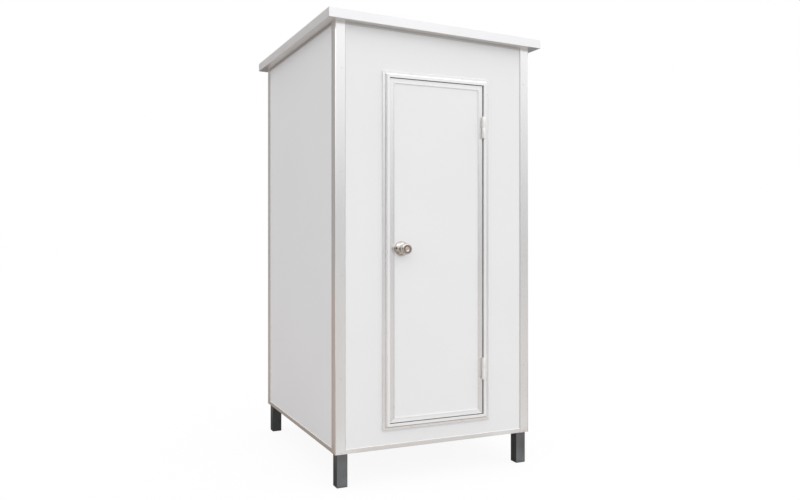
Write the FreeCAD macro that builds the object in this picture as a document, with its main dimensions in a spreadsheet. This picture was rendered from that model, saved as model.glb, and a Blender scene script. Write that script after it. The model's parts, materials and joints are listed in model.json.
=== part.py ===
import FreeCAD, Part
import math
import os
import re

import Sketcher
from FreeCAD import Rotation, Vector

# Portable toilet cabin: a sandwich-panel box on four square legs, with one outward-opening door.
# X runs to the right along the front, Y to the rear and Z up, from the ground under the middle.
# All lengths are in millimetres and all angles in degrees.

SIZES = {
    # Cabin body
    "cabin_width": 1200,
    "cabin_depth": 1380,
    "wall_height": 2281,
    "roof_fall_ratio": 0.03,
    "eave_overhang": 50,
    "fascia_height": 50,
    "fascia_wall": 2,
    "fascia_top_flange": 40,
    "panel_thickness": 40,
    # Corner posts
    "post_flange": 57,
    "post_wall": 3,
    "post_web": 2,
    "post_round": 5,
    # Channels at the foot and the head of the walls
    "rail_height": 23,
    "rail_wall": 2,
    "head_rail_drop": 13,
    # Legs and chassis
    "leg_height": 180,
    "leg_size": 60,
    "leg_wall": 3,
    "leg_inset_side": 15,
    "leg_inset_front": 14,
    "foot_thickness": 5,
    "beam_size": 40,
    "beam_wall": 2,
    "deck_thickness": 18,
    "deck_clearance": 1,
    # Door frame
    "door_width": 656,
    "door_height": 1940,
    "door_offset": -2.5,
    "door_sill_height": 101,
    "frame_face": 37,
    "frame_lip": 14,
    "frame_slope": 8,
    "frame_lip_rise": 8,
    "frame_band_rise": 22,
    "frame_wall": 2,
    "frame_stop": 16,
    "seal_width": 6,
    "seal_height": 5,
    "seal_clearance": 0.3,
    # Door leaf
    "leaf_recess": 8,
    "leaf_thickness": 40,
    "stile_face": 26,
    "stile_wall": 3,
    "stile_bead": 6,
    "stile_bead_rise": 1.5,
    "door_gap": 3,
    "hinge_gap": 8,
    # Lift-off hinges
    "hinge_length": 121,
    "hinge_radius": 9,
    "hinge_pin_radius": 4,
    "hinge_pin_clearance": 0.05,
    "hinge_flap": 2.5,
    "hinge_flap_depth": 34,
    "hinge_axis_inset": 2,
    "hinge_stand_off": 7.5,
    "hinge_split_gap": 0.4,
    "hinge_low_height": 397,
    "hinge_high_height": 1764,
    # Knob latch
    "knob_height": 1080,
    "backset": 68,
    "rose_radius": 41,
    "rose_height": 20,
    "rose_edge": 4,
    "rose_top_radius": 24,
    "knob_radius": 31.5,
    "knob_face_radius": 25,
    "knob_projection": 80,
    "knob_neck_radius": 14,
    "knob_neck_length": 34,
    "knob_neck_gap": 0.5,
    "knob_rim_width": 10,
    "knob_shoulder": 9,
    "knob_face_ring": 3,
    "knob_dish_radius": 15,
    "knob_dish_depth": 3,
    "spindle_radius": 5,
    "cross_bore_radius": 27,
    "latch_case_radius": 11.5,
    "latch_case_length": 56,
    "bolt_radius": 8,
    "bolt_length": 54,
    "bolt_bevel": 9,
    "latch_clearance": 0.1,
    "plug_radius": 6.5,
    "key_depth": 12,
    "key_slot_width": 1.6,
    "key_slot_depth": 8,
    "button_radius": 5,
    "button_length": 9,
    "strike_clearance": 1.2,
    "strike_width": 30,
    "strike_length": 60,
    # Toilet
    "toilet_side_gap": 12,
    "cistern_width": 380,
    "cistern_depth": 165,
    "cistern_height": 330,
    "cistern_wall": 8,
    "cistern_lid_height": 28,
    "cistern_lid_lip": 5,
    "pan_width": 360,
    "pan_rim_height": 395,
    "pan_length": 640,
    "outlet_radius": 38,
    "outlet_setback": 185,
    "foot_width": 210,
    "foot_length": 440,
    "foot_setback": 60,
    "bowl_width": 250,
    "bowl_length": 330,
    "bowl_depth": 190,
    "bowl_taper_angle": 20,
    "rim_band": 60,
    "belly_height": 200,
    "belly_taper_angle": 34,
    "seat_thickness": 18,
    "seat_rim": 62,
    "seat_gap": 4,
    "lid_thickness": 14,
    "lid_open_angle": 95,
    "seat_pin_radius": 5,
    "seat_pin_clearance": 0.06,
    "seat_ear_width": 20,
    "seat_ear_wall": 3,
    "seat_hinge_setback": 48,
    "seat_hinge_inset": 14,
    "lid_gap": 1,
    "seat_post_spacing": 150,
    "button_press_radius": 19,
    "button_press_travel": 5,
    "button_press_gap": 0.1,
    "valve_radius": 34,
    "valve_height": 270,
    "waste_radius": 55,
    "waste_wall": 3.2,
    "waste_drop": 60,
    "flange_radius": 75,
    "flange_thickness": 6,
    "flange_beam_gap": 35,
    "inlet_radius": 10.5,
    "inlet_neck_radius": 9,
    "inlet_hole_clearance": 0.3,
    "inlet_end": 10,
    "inlet_nut_width": 30,
    "inlet_nut_height": 9,
    "inlet_bore_radius": 7,
    "inlet_reach": 88,
    "inlet_height": 520,
    # Fittings
    "vent_width": 240,
    "vent_height": 140,
    "vent_border": 18,
    "vent_depth": 16,
    "vent_blade": 1.6,
    "vent_pitch": 26,
    "vent_drop": 150,
    "lamp_radius": 110,
    "lamp_base_height": 22,
    "lamp_lens_height": 42,
    "lamp_lens_inset": 10,
    "lamp_lens_slope": 16,
    "roll_radius": 52,
    "roll_core_radius": 20,
    "roll_width": 100,
    "roll_spindle_radius": 19.95,
    "roll_arm_reach": 68,
    "roll_height": 640,
    "roll_setback": 120,
}

VENT_BLADES = 4

doc = FreeCAD.newDocument("toilet_cabin")
sheet = doc.addObject("Spreadsheet::Sheet", "Sizes")
for row, (name, value) in enumerate(SIZES.items(), start=1):
    sheet.set(f"A{row}", name)
    sheet.set(f"B{row}", str(value))
    sheet.setAlias(f"B{row}", name)
doc.recompute()

NODES = {}

# Planes and levels of the cabin, as formulas of the sizes.
LEFT = "(-cabin_width / 2)"
RIGHT = "(cabin_width / 2)"
FRONT = "(-cabin_depth / 2)"
REAR = "(cabin_depth / 2)"
UNDERSIDE = "leg_height"
EAVE = "(leg_height + wall_height)"
POST_CORE = "(post_wall + panel_thickness + post_web)"
PANEL_BACK = "(post_wall + panel_thickness)"
DECK_TOP = "(leg_height + beam_size + deck_thickness)"
PANEL_FACE = f"({FRONT} + post_wall)"
DOOR_LEFT = "(door_offset - door_width / 2)"
DOOR_RIGHT = "(door_offset + door_width / 2)"
DOOR_BOTTOM = "(leg_height + door_sill_height)"
DOOR_TOP = "(leg_height + door_sill_height + door_height)"
FRAME_WEB = "(frame_lip + frame_slope)"
LEAF_LEFT = f"({DOOR_LEFT} + frame_face + door_gap)"
LEAF_RIGHT = f"({DOOR_RIGHT} - frame_face - hinge_gap)"
LEAF_BOTTOM = f"({DOOR_BOTTOM} + frame_face + door_gap)"
LEAF_TOP = f"({DOOR_TOP} - frame_face - door_gap)"
LEAF_FRONT = f"({PANEL_FACE} - frame_band_rise + leaf_recess)"
LEAF_BACK = f"({LEAF_FRONT} + leaf_thickness)"
LEAF_MIDDLE = f"({LEAF_FRONT} + leaf_thickness / 2)"
STOP_RISE = "(frame_band_rise - leaf_recess - leaf_thickness - seal_height - seal_clearance)"
HINGE_X = f"({LEAF_RIGHT} + hinge_axis_inset)"
HINGE_Y = f"({PANEL_FACE} - frame_band_rise - hinge_stand_off)"
KNOB_X = f"({LEAF_LEFT} + backset)"
KNOB_Z = "(leg_height + knob_height)"
CISTERN_FRONT = f"({REAR} - {PANEL_BACK} - cistern_depth)"
PAN_BACK = f"({REAR} - {PANEL_BACK} - toilet_side_gap)"
RIM_TOP = f"({DECK_TOP} + pan_rim_height)"
PAN_NOSE = f"({PAN_BACK} - pan_length)"
BOWL_FRONT = f"({PAN_NOSE} + (pan_width - bowl_width) / 2)"
SEAT_AXIS_Y = f"({CISTERN_FRONT} - seat_hinge_setback)"
SEAT_AXIS_Z = f"({RIM_TOP} + seat_gap + seat_thickness + seat_pin_radius)"
WASTE_Y = f"({BOWL_FRONT} + outlet_setback)"
INLET_X = "(cistern_width / 4)"
INLET_Z = f"({DECK_TOP} + inlet_height)"


def eave_at(x):
    """Height of the roof's underside line at x: it falls steadily to the right."""
    return f"({EAVE} - roof_fall_ratio * (({x}) + cabin_width / 2))"


def bound(formula):
    """The formula with each size's name pointing at its cell."""
    def cell(match):
        word = match.group(0)
        return f"Sizes.{word}" if word in SIZES else word
    return re.sub(r"[a-z][a-z_]*", cell, formula)


def number(formula):
    """The value that the formula has now."""
    return float(sheet.evalExpression(bound(formula)))


def tie(thing, **formulas):
    """Bind properties to formulas; double underscores stand for dots."""
    for name, formula in formulas.items():
        thing.setExpression(name.replace("__", "."), bound(formula))


def place(thing, x="0", y="0", z="0"):
    """Bind the thing's position."""
    tie(thing, Placement__Base__x=x, Placement__Base__y=y, Placement__Base__z=z)


def new_body(name):
    return doc.addObject("PartDesign::Body", name)


def base_plane(body, role):
    return next(item for item in body.Origin.OriginFeatures if item.Role == role)


def arc_between(start, end, centre, turning_left):
    """An arc from start to end about the centre, and whether it runs from start to end."""
    first, last = (start, end) if turning_left else (end, start)
    radius = start.distanceToPoint(centre)
    begin = math.atan2(first.y - centre.y, first.x - centre.x)
    finish = math.atan2(last.y - centre.y, last.x - centre.x)
    if finish <= begin:
        finish += 2 * math.pi
    circle = Part.Circle(centre, Vector(0, 0, 1), radius)
    return Part.ArcOfCircle(circle, begin, finish)


def arc_centre(start, end, spec):
    """The centre on the bisector of start and end whose one given coordinate is fixed."""
    middle = (start + end) / 2
    chord = end - start
    if "y" in spec:
        y = number(spec["y"])
        return Vector(middle.x - (y - middle.y) * chord.y / chord.x, y, 0)
    x = number(spec["x"])
    return Vector(x, middle.y - (x - middle.x) * chord.x / chord.y, 0)


def draw_loop(sketch, loop):
    """One closed loop of lines and arcs whose corners are bound to formulas.

    A corner is (x, y), or (x, y, spec) where an arc leads on to the next corner. The spec has one
    coordinate of the arc's centre, and "left" is true where the arc turns left on its way.
    """
    corners = [Vector(number(corner[0]), number(corner[1]), 0) for corner in loop]
    first = sketch.GeometryCount
    count = len(loop)
    ends = []
    for index, corner in enumerate(loop):
        start, end = corners[index], corners[(index + 1) % count]
        if len(corner) == 2:
            sketch.addGeometry(Part.LineSegment(start, end), False)
            ends.append((1, 2))
            continue
        spec = corner[2]
        centre = arc_centre(start, end, spec)
        sketch.addGeometry(arc_between(start, end, centre, spec["left"]), False)
        ends.append((1, 2) if spec["left"] else (2, 1))
    for index in range(count):
        following = (index + 1) % count
        sketch.addConstraint(Sketcher.Constraint(
            "Coincident", first + index, ends[index][1], first + following, ends[following][0]))
    for index, corner in enumerate(loop):
        for kind, formula, value in (("DistanceX", corner[0], corners[index].x),
                                     ("DistanceY", corner[1], corners[index].y)):
            bind(sketch, Sketcher.Constraint(
                kind, -1, 1, first + index, ends[index][0], value), formula)
        if len(corner) == 3:
            spec = corner[2]
            kind, axis = ("DistanceY", "y") if "y" in spec else ("DistanceX", "x")
            bind(sketch, Sketcher.Constraint(
                kind, -1, 1, first + index, 3, number(spec[axis])), spec[axis])


def draw_circle(sketch, x, y, radius):
    """One circle whose centre and radius are bound to formulas."""
    circle = Part.Circle(Vector(number(x), number(y), 0), Vector(0, 0, 1), number(radius))
    index = sketch.addGeometry(circle, False)
    bind(sketch, Sketcher.Constraint("DistanceX", -1, 1, index, 3, number(x)), x)
    bind(sketch, Sketcher.Constraint("DistanceY", -1, 1, index, 3, number(y)), y)
    bind(sketch, Sketcher.Constraint("Radius", index, number(radius)), radius)


def bind(sketch, constraint, formula):
    index = sketch.addConstraint(constraint)
    sketch.setExpression(f"Constraints[{index}]", bound(formula))


def draw(body, name, role, loops, circles=(), level=None):
    """A sketch on one of the body's own planes, raised to a level if one is given."""
    sketch = body.newObject("Sketcher::SketchObject", name)
    sketch.AttachmentSupport = [(base_plane(body, role), "")]
    sketch.MapMode = "FlatFace"
    if level is not None:
        sketch.setExpression("AttachmentOffset.Base.z", bound(level))
    for loop in loops:
        draw_loop(sketch, loop)
    for circle in circles:
        draw_circle(sketch, *circle)
    return sketch


def box_loop(x0, y0, x1, y1):
    return [(x0, y0), (x1, y0), (x1, y1), (x0, y1)]


def prism(name, role, loops, start, length, circles=(), slope=None):
    """A body padded from a section. The plane's role says which way it runs:
    YZ along +X, XZ along +Y and XY along +Z, from start and over length.
    A slope is the drop per unit of length of a section that runs along X."""
    body = new_body(name)
    sketch = draw(body, f"{name}_section", role, loops, circles)
    pad = body.newObject("PartDesign::Pad", f"{name}_pad")
    pad.Profile = sketch
    tie(pad, Length=length)
    if role == "XZ_Plane":
        pad.Reversed = True
        place(body, y=start)
    elif role == "XY_Plane":
        place(body, z=start)
    else:
        place(body, x=start)
    if slope is not None:
        pad.UseCustomVector = True
        pad.AlongSketchNormal = True
        pad.Direction = Vector(1, 0, -number(slope))
        tie(pad, Direction__z=f"-({slope})")
    body.Tip = pad
    return body


def cut_through(body, name, role, loops, circles=()):
    """Cut the loops right through the body, both ways from the plane."""
    sketch = draw(body, name, role, loops, circles)
    pocket = body.newObject("PartDesign::Pocket", f"{name}_cut")
    pocket.Profile = sketch
    pocket.Type = 1
    pocket.Midplane = True
    body.Tip = pocket
    return pocket


def edges_where(feature, test):
    """Names of the edges whose two ends both pass the test."""
    doc.recompute()
    names = []
    for index, edge in enumerate(feature.Shape.Edges, start=1):
        if len(edge.Vertexes) == 2 and all(test(vertex.Point) for vertex in edge.Vertexes):
            names.append(f"Edge{index}")
    return names


def round_edges(body, name, test, radius):
    """Fillet the edges of the body's last feature that pass the test."""
    feature = body.Tip
    names = edges_where(feature, test)
    fillet = body.newObject("PartDesign::Fillet", name)
    fillet.Base = (feature, names)
    tie(fillet, Radius=radius)
    body.Tip = fillet
    return fillet


def revolve(body, name, loop, role="XZ_Plane"):
    """Turn a half section about the body's vertical axis."""
    sketch = draw(body, name, role, [loop])
    turned = body.newObject("PartDesign::Revolution", f"{name}_turned")
    turned.Profile = sketch
    turned.ReferenceAxis = (sketch, ["V_Axis"])
    turned.Angle = 360
    body.Tip = turned
    return turned


def box(name, x, y, z, length, width, height):
    solid = doc.addObject("Part::Box", name)
    tie(solid, Length=length, Width=width, Height=height)
    place(solid, x, y, z)
    return solid


def cylinder(name, x, y, z, radius, height, axis="Z"):
    """A cylinder from the point along +Z, +X, +Y or -Y."""
    solid = doc.addObject("Part::Cylinder", name)
    tie(solid, Radius=radius, Height=height)
    turns = {"Z": Rotation(), "X": Rotation(Vector(0, 1, 0), 90),
             "Y": Rotation(Vector(1, 0, 0), -90), "-Y": Rotation(Vector(1, 0, 0), 90)}
    solid.Placement.Rotation = turns[axis]
    place(solid, x, y, z)
    return solid


def cut(name, base, *tools):
    """The base less each tool in turn."""
    result = base
    for index, tool in enumerate(tools, start=1):
        step = doc.addObject("Part::Cut", name if index == len(tools) else f"{name}_{index}")
        step.Base = result
        step.Tool = tool
        result = step
    return result


def fuse(name, *parts):
    joined = doc.addObject("Part::MultiFuse", name)
    joined.Shapes = list(parts)
    return joined


def group(name, parts):
    """Separate solids that share one node."""
    gathered = doc.addObject("Part::Compound", name)
    gathered.Links = list(parts)
    return gathered


def node(thing, name=None):
    """Register a finished sub-part under its label."""
    if name:
        thing.Label = name
    NODES[thing.Label] = thing
    return thing


# Legs and chassis

def make_legs():
    """Four square-tube legs, each closed at the ground by a flush welded plate."""
    for end in ("front", "rear"):
        for side in ("left", "right"):
            name = f"leg_{end}_{side}"
            x = f"{LEFT} + leg_inset_side" if side == "left" else f"{RIGHT} - leg_inset_side - leg_size"
            y = f"{FRONT} + leg_inset_front" if end == "front" else f"{REAR} - leg_inset_front - leg_size"
            outer = box(f"{name}_outer", x, y, "0", "leg_size", "leg_size", "leg_height")
            bore = box(f"{name}_bore", f"{x} + leg_wall", f"{y} + leg_wall", "foot_thickness",
                       "leg_size - 2 * leg_wall", "leg_size - 2 * leg_wall", "leg_height")
            node(cut(name, outer, bore))


def beam(name, x, y, length, along_x):
    """One square chassis tube, open at its ends."""
    inner = "beam_size - 2 * beam_wall"
    if along_x:
        outer = box(f"{name}_outer", x, y, UNDERSIDE, length, "beam_size", "beam_size")
        bore = box(f"{name}_bore", f"{x} - 1", f"{y} + beam_wall", f"{UNDERSIDE} + beam_wall",
                   f"{length} + 2", inner, inner)
    else:
        outer = box(f"{name}_outer", x, y, UNDERSIDE, "beam_size", length, "beam_size")
        bore = box(f"{name}_bore", f"{x} + beam_wall", f"{y} - 1", f"{UNDERSIDE} + beam_wall",
                   inner, f"{length} + 2", inner)
    return cut(name, outer, bore)


def make_chassis():
    """Two side beams over the legs, and four cross beams welded between them."""
    inset = f"({PANEL_BACK} + rail_wall)"
    length = f"cabin_depth - 2 * {inset}"
    left = beam("side_beam_left", f"{LEFT} + {inset}", f"{FRONT} + {inset}", length, False)
    right = beam("side_beam_right", f"{RIGHT} - {inset} - beam_size", f"{FRONT} + {inset}", length, False)
    node(group("chassis_side_beams", [left, right]))
    start = f"{LEFT} + {inset} + beam_size"
    span = f"cabin_width - 2 * ({inset} + beam_size)"
    places = {
        "front": f"{FRONT} + {inset}",
        "middle_front": "-cabin_depth / 6 - beam_size / 2",
        "middle_rear": f"{WASTE_Y} + flange_radius + flange_beam_gap",
        "rear": f"{REAR} - {inset} - beam_size",
    }
    beams = [beam(f"cross_beam_{where}", start, y, span, True) for where, y in places.items()]
    node(group("chassis_cross_beams", beams))


def make_floor():
    """The floor deck on the chassis, notched at the four posts and bored for the waste pipe."""
    edge = f"({PANEL_BACK} + deck_clearance)"
    notch = "(post_flange + deck_clearance)"
    loop = [
        (f"{LEFT} + {notch}", f"{FRONT} + {edge}"),
        (f"{RIGHT} - {notch}", f"{FRONT} + {edge}"),
        (f"{RIGHT} - {notch}", f"{FRONT} + {notch}"),
        (f"{RIGHT} - {edge}", f"{FRONT} + {notch}"),
        (f"{RIGHT} - {edge}", f"{REAR} - {notch}"),
        (f"{RIGHT} - {notch}", f"{REAR} - {notch}"),
        (f"{RIGHT} - {notch}", f"{REAR} - {edge}"),
        (f"{LEFT} + {notch}", f"{REAR} - {edge}"),
        (f"{LEFT} + {notch}", f"{REAR} - {notch}"),
        (f"{LEFT} + {edge}", f"{REAR} - {notch}"),
        (f"{LEFT} + {edge}", f"{FRONT} + {notch}"),
        (f"{LEFT} + {notch}", f"{FRONT} + {notch}"),
    ]
    hole = ("0", WASTE_Y, "waste_radius - waste_wall")
    node(prism("floor_deck", "XY_Plane", [loop], f"{UNDERSIDE} + beam_size", "deck_thickness",
               circles=[hole]))


# Walls

def corner_map(end, side):
    """Functions that turn distances from a cabin corner into places."""
    def x(distance):
        return f"{LEFT} + ({distance})" if side == "left" else f"{RIGHT} - ({distance})"

    def y(distance):
        return f"{FRONT} + ({distance})" if end == "front" else f"{REAR} - ({distance})"
    return x, y


def make_posts():
    """Four corner extrusions: a rounded outer angle, a square core and a slot for each panel."""
    section = [
        ("0", "0"), ("post_flange", "0"), ("post_flange", "post_wall"), (POST_CORE, "post_wall"),
        (POST_CORE, PANEL_BACK), ("post_flange", PANEL_BACK), ("post_flange", POST_CORE),
        (POST_CORE, POST_CORE), (POST_CORE, "post_flange"), (PANEL_BACK, "post_flange"),
        (PANEL_BACK, POST_CORE), ("post_wall", POST_CORE), ("post_wall", "post_flange"),
        ("0", "post_flange"),
    ]
    core = box_loop("post_wall", "post_wall", PANEL_BACK, PANEL_BACK)
    for end in ("front", "rear"):
        for side in ("left", "right"):
            name = f"corner_post_{end}_{side}"
            x, y = corner_map(end, side)
            loops = [[(x(a), y(b)) for a, b in loop] for loop in (section, core)]
            body = prism(name, "XY_Plane", loops, UNDERSIDE, "wall_height + post_flange")
            low, high = x("-5"), x("post_flange + 5")
            top = [
                (low, f"{eave_at(low)} + fascia_wall - {UNDERSIDE}"),
                (high, f"{eave_at(high)} + fascia_wall - {UNDERSIDE}"),
                (high, "wall_height + 3 * post_flange"),
                (low, "wall_height + 3 * post_flange"),
            ]
            cut_through(body, f"{name}_top", "XZ_Plane", [top])
            corner = Vector(number(x("0")), number(y("0")), 0)

            def on_arris(point, corner=corner):
                return math.hypot(point.x - corner.x, point.y - corner.y) < 0.01
            round_edges(body, f"{name}_arris", on_arris, "post_round")
            node(body)


def make_bottom_rails():
    """Channels between the posts that hold the feet of the wall panels."""
    low, high = "0", "rail_height"
    outer = "(post_wall - rail_wall)"
    inner = f"({PANEL_BACK} + rail_wall)"

    def section(edge, sign):
        def at(distance):
            return f"{edge} {sign} ({distance})"
        return [(at(outer), low), (at(inner), low), (at(inner), high), (at(PANEL_BACK), high),
                (at(PANEL_BACK), "rail_wall"), (at("post_wall"), "rail_wall"),
                (at("post_wall"), high), (at(outer), high)]
    rails = {
        "bottom_rail_front": ("YZ_Plane", FRONT, "+", f"{LEFT} + post_flange", "cabin_width"),
        "bottom_rail_rear": ("YZ_Plane", REAR, "-", f"{LEFT} + post_flange", "cabin_width"),
        "bottom_rail_left": ("XZ_Plane", LEFT, "+", f"{FRONT} + post_flange", "cabin_depth"),
        "bottom_rail_right": ("XZ_Plane", RIGHT, "-", f"{FRONT} + post_flange", "cabin_depth"),
    }
    for name, (role, edge, sign, start, length) in rails.items():
        rail = prism(name, role, [section(edge, sign)], start, f"{length} - 2 * post_flange")
        tie(rail, Placement__Base__z=UNDERSIDE)
        node(rail)


def make_head_rails():
    """Inverted channels over the wall panels; they follow the fall of the roof."""
    outer = "(post_wall - rail_wall)"
    inner = f"({PANEL_BACK} + rail_wall)"

    def section(edge, sign, level):
        def at(distance, rise):
            place_across = f"{edge} {sign} ({distance})"
            return place_across, f"{level(place_across)} + ({rise})"
        return [at(outer, "fascia_wall"), at(inner, "fascia_wall"), at(inner, "-head_rail_drop"),
                at(PANEL_BACK, "-head_rail_drop"), at(PANEL_BACK, "0"), at("post_wall", "0"),
                at("post_wall", "-head_rail_drop"), at(outer, "-head_rail_drop")]

    def flat(_):
        return "0"
    rails = []
    start = f"{LEFT} + post_flange"
    for name, edge, sign in (("head_rail_front", FRONT, "+"), ("head_rail_rear", REAR, "-")):
        rail = prism(name, "YZ_Plane", [section(edge, sign, flat)], start,
                     "cabin_width - 2 * post_flange", slope="roof_fall_ratio")
        tie(rail, Placement__Base__z=eave_at(start))
        rails.append(rail)
    for name, edge, sign in (("head_rail_left", LEFT, "+"), ("head_rail_right", RIGHT, "-")):
        rails.append(prism(name, "XZ_Plane", [section(edge, sign, eave_at)],
                           f"{FRONT} + post_flange", "cabin_depth - 2 * post_flange"))
    node(group("head_rails", rails))


def wall_outline(x0, x1):
    foot = f"{UNDERSIDE} + rail_wall"
    return [(x0, foot), (x1, foot), (x1, eave_at(x1)), (x0, eave_at(x0))]


def make_walls():
    """Sandwich panels: two side walls, the rear wall and the front wall with its door opening."""
    across = (f"{LEFT} + {POST_CORE}", f"{RIGHT} - {POST_CORE}")
    doorway = box_loop(f"{DOOR_LEFT} + {FRAME_WEB}", f"{DOOR_BOTTOM} + {FRAME_WEB}",
                       f"{DOOR_RIGHT} - {FRAME_WEB}", f"{DOOR_TOP} - {FRAME_WEB}")
    node(prism("wall_panel_front", "XZ_Plane", [wall_outline(*across), doorway],
               PANEL_FACE, "panel_thickness"))
    vent_x = "(vent_width / 2 - vent_border)"
    vent_low = f"{vent_level()} - vent_height + vent_border"
    vent_high = f"{vent_level()} - vent_border"
    vent = box_loop(f"-{vent_x}", vent_low, vent_x, vent_high)
    rear = prism("wall_panel_rear", "XZ_Plane", [wall_outline(*across), vent],
                 f"{REAR} - {PANEL_BACK}", "panel_thickness",
                 circles=[(INLET_X, INLET_Z, "inlet_neck_radius + inlet_hole_clearance")])
    node(rear)
    length = f"cabin_depth - 2 * {POST_CORE}"
    start = f"{FRONT} + {POST_CORE}"
    node(prism("wall_panel_left", "XZ_Plane",
               [wall_outline(f"{LEFT} + post_wall", f"{LEFT} + {PANEL_BACK}")], start, length))
    node(prism("wall_panel_right", "XZ_Plane",
               [wall_outline(f"{RIGHT} - {PANEL_BACK}", f"{RIGHT} - post_wall")], start, length))


def vent_level():
    """Height of the vent's upper edge."""
    return f"({eave_at('0')} - vent_drop)"


# Roof

def make_roof():
    """The roof panel, and the mitred fascia channels that clasp its four edges."""
    out = "(eave_overhang - fascia_wall)"
    x0, x1 = f"{LEFT} - {out}", f"{RIGHT} + {out}"
    panel = [(x0, f"{eave_at(x0)} + fascia_wall"), (x1, f"{eave_at(x1)} + fascia_wall"),
             (x1, f"{eave_at(x1)} + fascia_height - fascia_wall"),
             (x0, f"{eave_at(x0)} + fascia_height - fascia_wall")]
    node(prism("roof_panel", "XZ_Plane", [panel], f"{FRONT} - {out}", f"cabin_depth + 2 * {out}"))

    def section(edge, sign, level):
        def at(distance, rise):
            across = f"{edge} {sign} ({distance})"
            return across, f"{level(across)} + ({rise})"
        return [at("0", "0"), at("eave_overhang", "0"), at("eave_overhang", "fascia_wall"),
                at("fascia_wall", "fascia_wall"), at("fascia_wall", "fascia_height - fascia_wall"),
                at("fascia_top_flange", "fascia_height - fascia_wall"),
                at("fascia_top_flange", "fascia_height"), at("0", "fascia_height")]

    def flat(_):
        return "0"
    reach = "(eave_overhang + 10)"
    far_x = "(cabin_width + 2 * eave_overhang)"
    far_y = "(cabin_depth + 2 * eave_overhang)"
    start_x = f"{LEFT} - eave_overhang"
    start_y = f"{FRONT} - eave_overhang"
    for name, edge, sign in (("fascia_front", f"({FRONT} - eave_overhang)", "+"),
                             ("fascia_rear", f"({REAR} + eave_overhang)", "-")):
        body = prism(name, "YZ_Plane", [section(edge, sign, flat)], start_x, far_x,
                     slope="roof_fall_ratio")
        inward = f"{edge} {sign} {reach}"
        corners = [[("0", edge), ("0", inward), (reach, inward)],
                   [(far_x, edge), (far_x, inward), (f"{far_x} - {reach}", inward)]]
        cut_through(body, f"{name}_mitre", "XY_Plane", corners)
        tie(body, Placement__Base__z=eave_at(start_x))
        node(body)
    for name, edge, sign in (("fascia_left", f"({LEFT} - eave_overhang)", "+"),
                             ("fascia_right", f"({RIGHT} + eave_overhang)", "-")):
        body = prism(name, "XZ_Plane", [section(edge, sign, eave_at)], start_y, far_y)
        inward = f"{edge} {sign} {reach}"
        corners = [[(edge, "0"), (inward, "0"), (inward, reach)],
                   [(edge, far_y), (inward, far_y), (inward, f"{far_y} - {reach}")]]
        cut_through(body, f"{name}_mitre", "XY_Plane", corners)
        node(body)


# Door frame

def frame_section(across, out):
    """The frame's section. It runs from its lip on the wall, up a slope to the raised band,
    and back through the wall to the stop behind the leaf. A closed core runs inside."""
    outline = [("0", "0"), ("0", "frame_lip_rise"), ("frame_lip", "frame_lip_rise"),
               (FRAME_WEB, "frame_band_rise"), ("frame_face", "frame_band_rise"),
               ("frame_face", STOP_RISE), ("frame_face + frame_stop", STOP_RISE),
               ("frame_face + frame_stop", "-panel_thickness"), (FRAME_WEB, "-panel_thickness"),
               (FRAME_WEB, "0")]
    core = [(f"{FRAME_WEB} + frame_wall", "frame_wall - panel_thickness"),
            ("frame_face - frame_wall", "frame_wall - panel_thickness"),
            ("frame_face - frame_wall", "frame_band_rise - frame_wall"),
            (f"{FRAME_WEB} + frame_wall", "frame_band_rise - frame_wall")]
    return [[(across(a), out(b)) for a, b in loop] for loop in (outline, core)]


def make_door_frame():
    """Two jambs, a head and a sill, mitred at the corners."""
    def out(rise):
        return f"{PANEL_FACE} - ({rise})"
    reach = "(frame_face + frame_stop + 10)"
    jambs = {"door_jamb_lock": (DOOR_LEFT, "+", "-"), "door_jamb_hinge": (DOOR_RIGHT, "-", "+")}
    for name, (edge, sign, back) in jambs.items():
        def across(distance, edge=edge, sign=sign):
            return f"{edge} {sign} ({distance})"
        loops = [[(x, y) for x, y in loop] for loop in frame_section(across, out)]
        body = prism(name, "XY_Plane", loops, DOOR_BOTTOM, "door_height")
        inward = across(reach)
        corners = [[(edge, "0"), (inward, "0"), (inward, reach)],
                   [(edge, "door_height"), (inward, "door_height"), (inward, f"door_height - {reach}")]]
        cut_through(body, f"{name}_mitre", "XZ_Plane", corners)
        node(body)
    bars = {"door_head": (DOOR_TOP, "-"), "door_sill": (DOOR_BOTTOM, "+")}
    for name, (edge, sign) in bars.items():
        def up(distance, edge=edge, sign=sign):
            return f"{edge} {sign} ({distance})"
        loops = [[(y, z) for z, y in loop] for loop in frame_section(up, out)]
        body = prism(name, "YZ_Plane", loops, DOOR_LEFT, "door_width")
        inward = up(reach)
        corners = [[("0", edge), ("0", inward), (reach, inward)],
                   [("door_width", edge), ("door_width", inward), (f"door_width - {reach}", inward)]]
        cut_through(body, f"{name}_mitre", "XZ_Plane", corners)
        node(body)
    jamb = NODES["door_jamb_lock"]
    level = f"{KNOB_Z} - {DOOR_BOTTOM}"
    recess = draw(jamb, "strike_recess", "YZ_Plane",
                  [box_loop(f"{LEAF_MIDDLE} - strike_width / 2", f"{level} - strike_length / 2",
                            f"{LEAF_MIDDLE} + strike_width / 2", f"{level} + strike_length / 2")],
                  level=f"{DOOR_LEFT} + frame_face")
    pocket = jamb.newObject("PartDesign::Pocket", "strike_recess_cut")
    pocket.Profile = recess
    tie(pocket, Length="frame_wall + 1")
    jamb.Tip = pocket


def make_seal():
    """The rubber seal on the front of the stop, all round the doorway."""
    inner = "(frame_face + frame_stop - 1)"
    outer = f"({inner} - seal_width)"

    def ring(inset):
        return box_loop(f"{DOOR_LEFT} + {inset}", f"{DOOR_BOTTOM} + {inset}",
                        f"{DOOR_RIGHT} - {inset}", f"{DOOR_TOP} - {inset}")
    node(prism("door_seal", "XZ_Plane", [ring(outer), ring(inner)],
               f"{LEAF_BACK} + seal_clearance", "seal_height"))


# Door leaf

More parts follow.
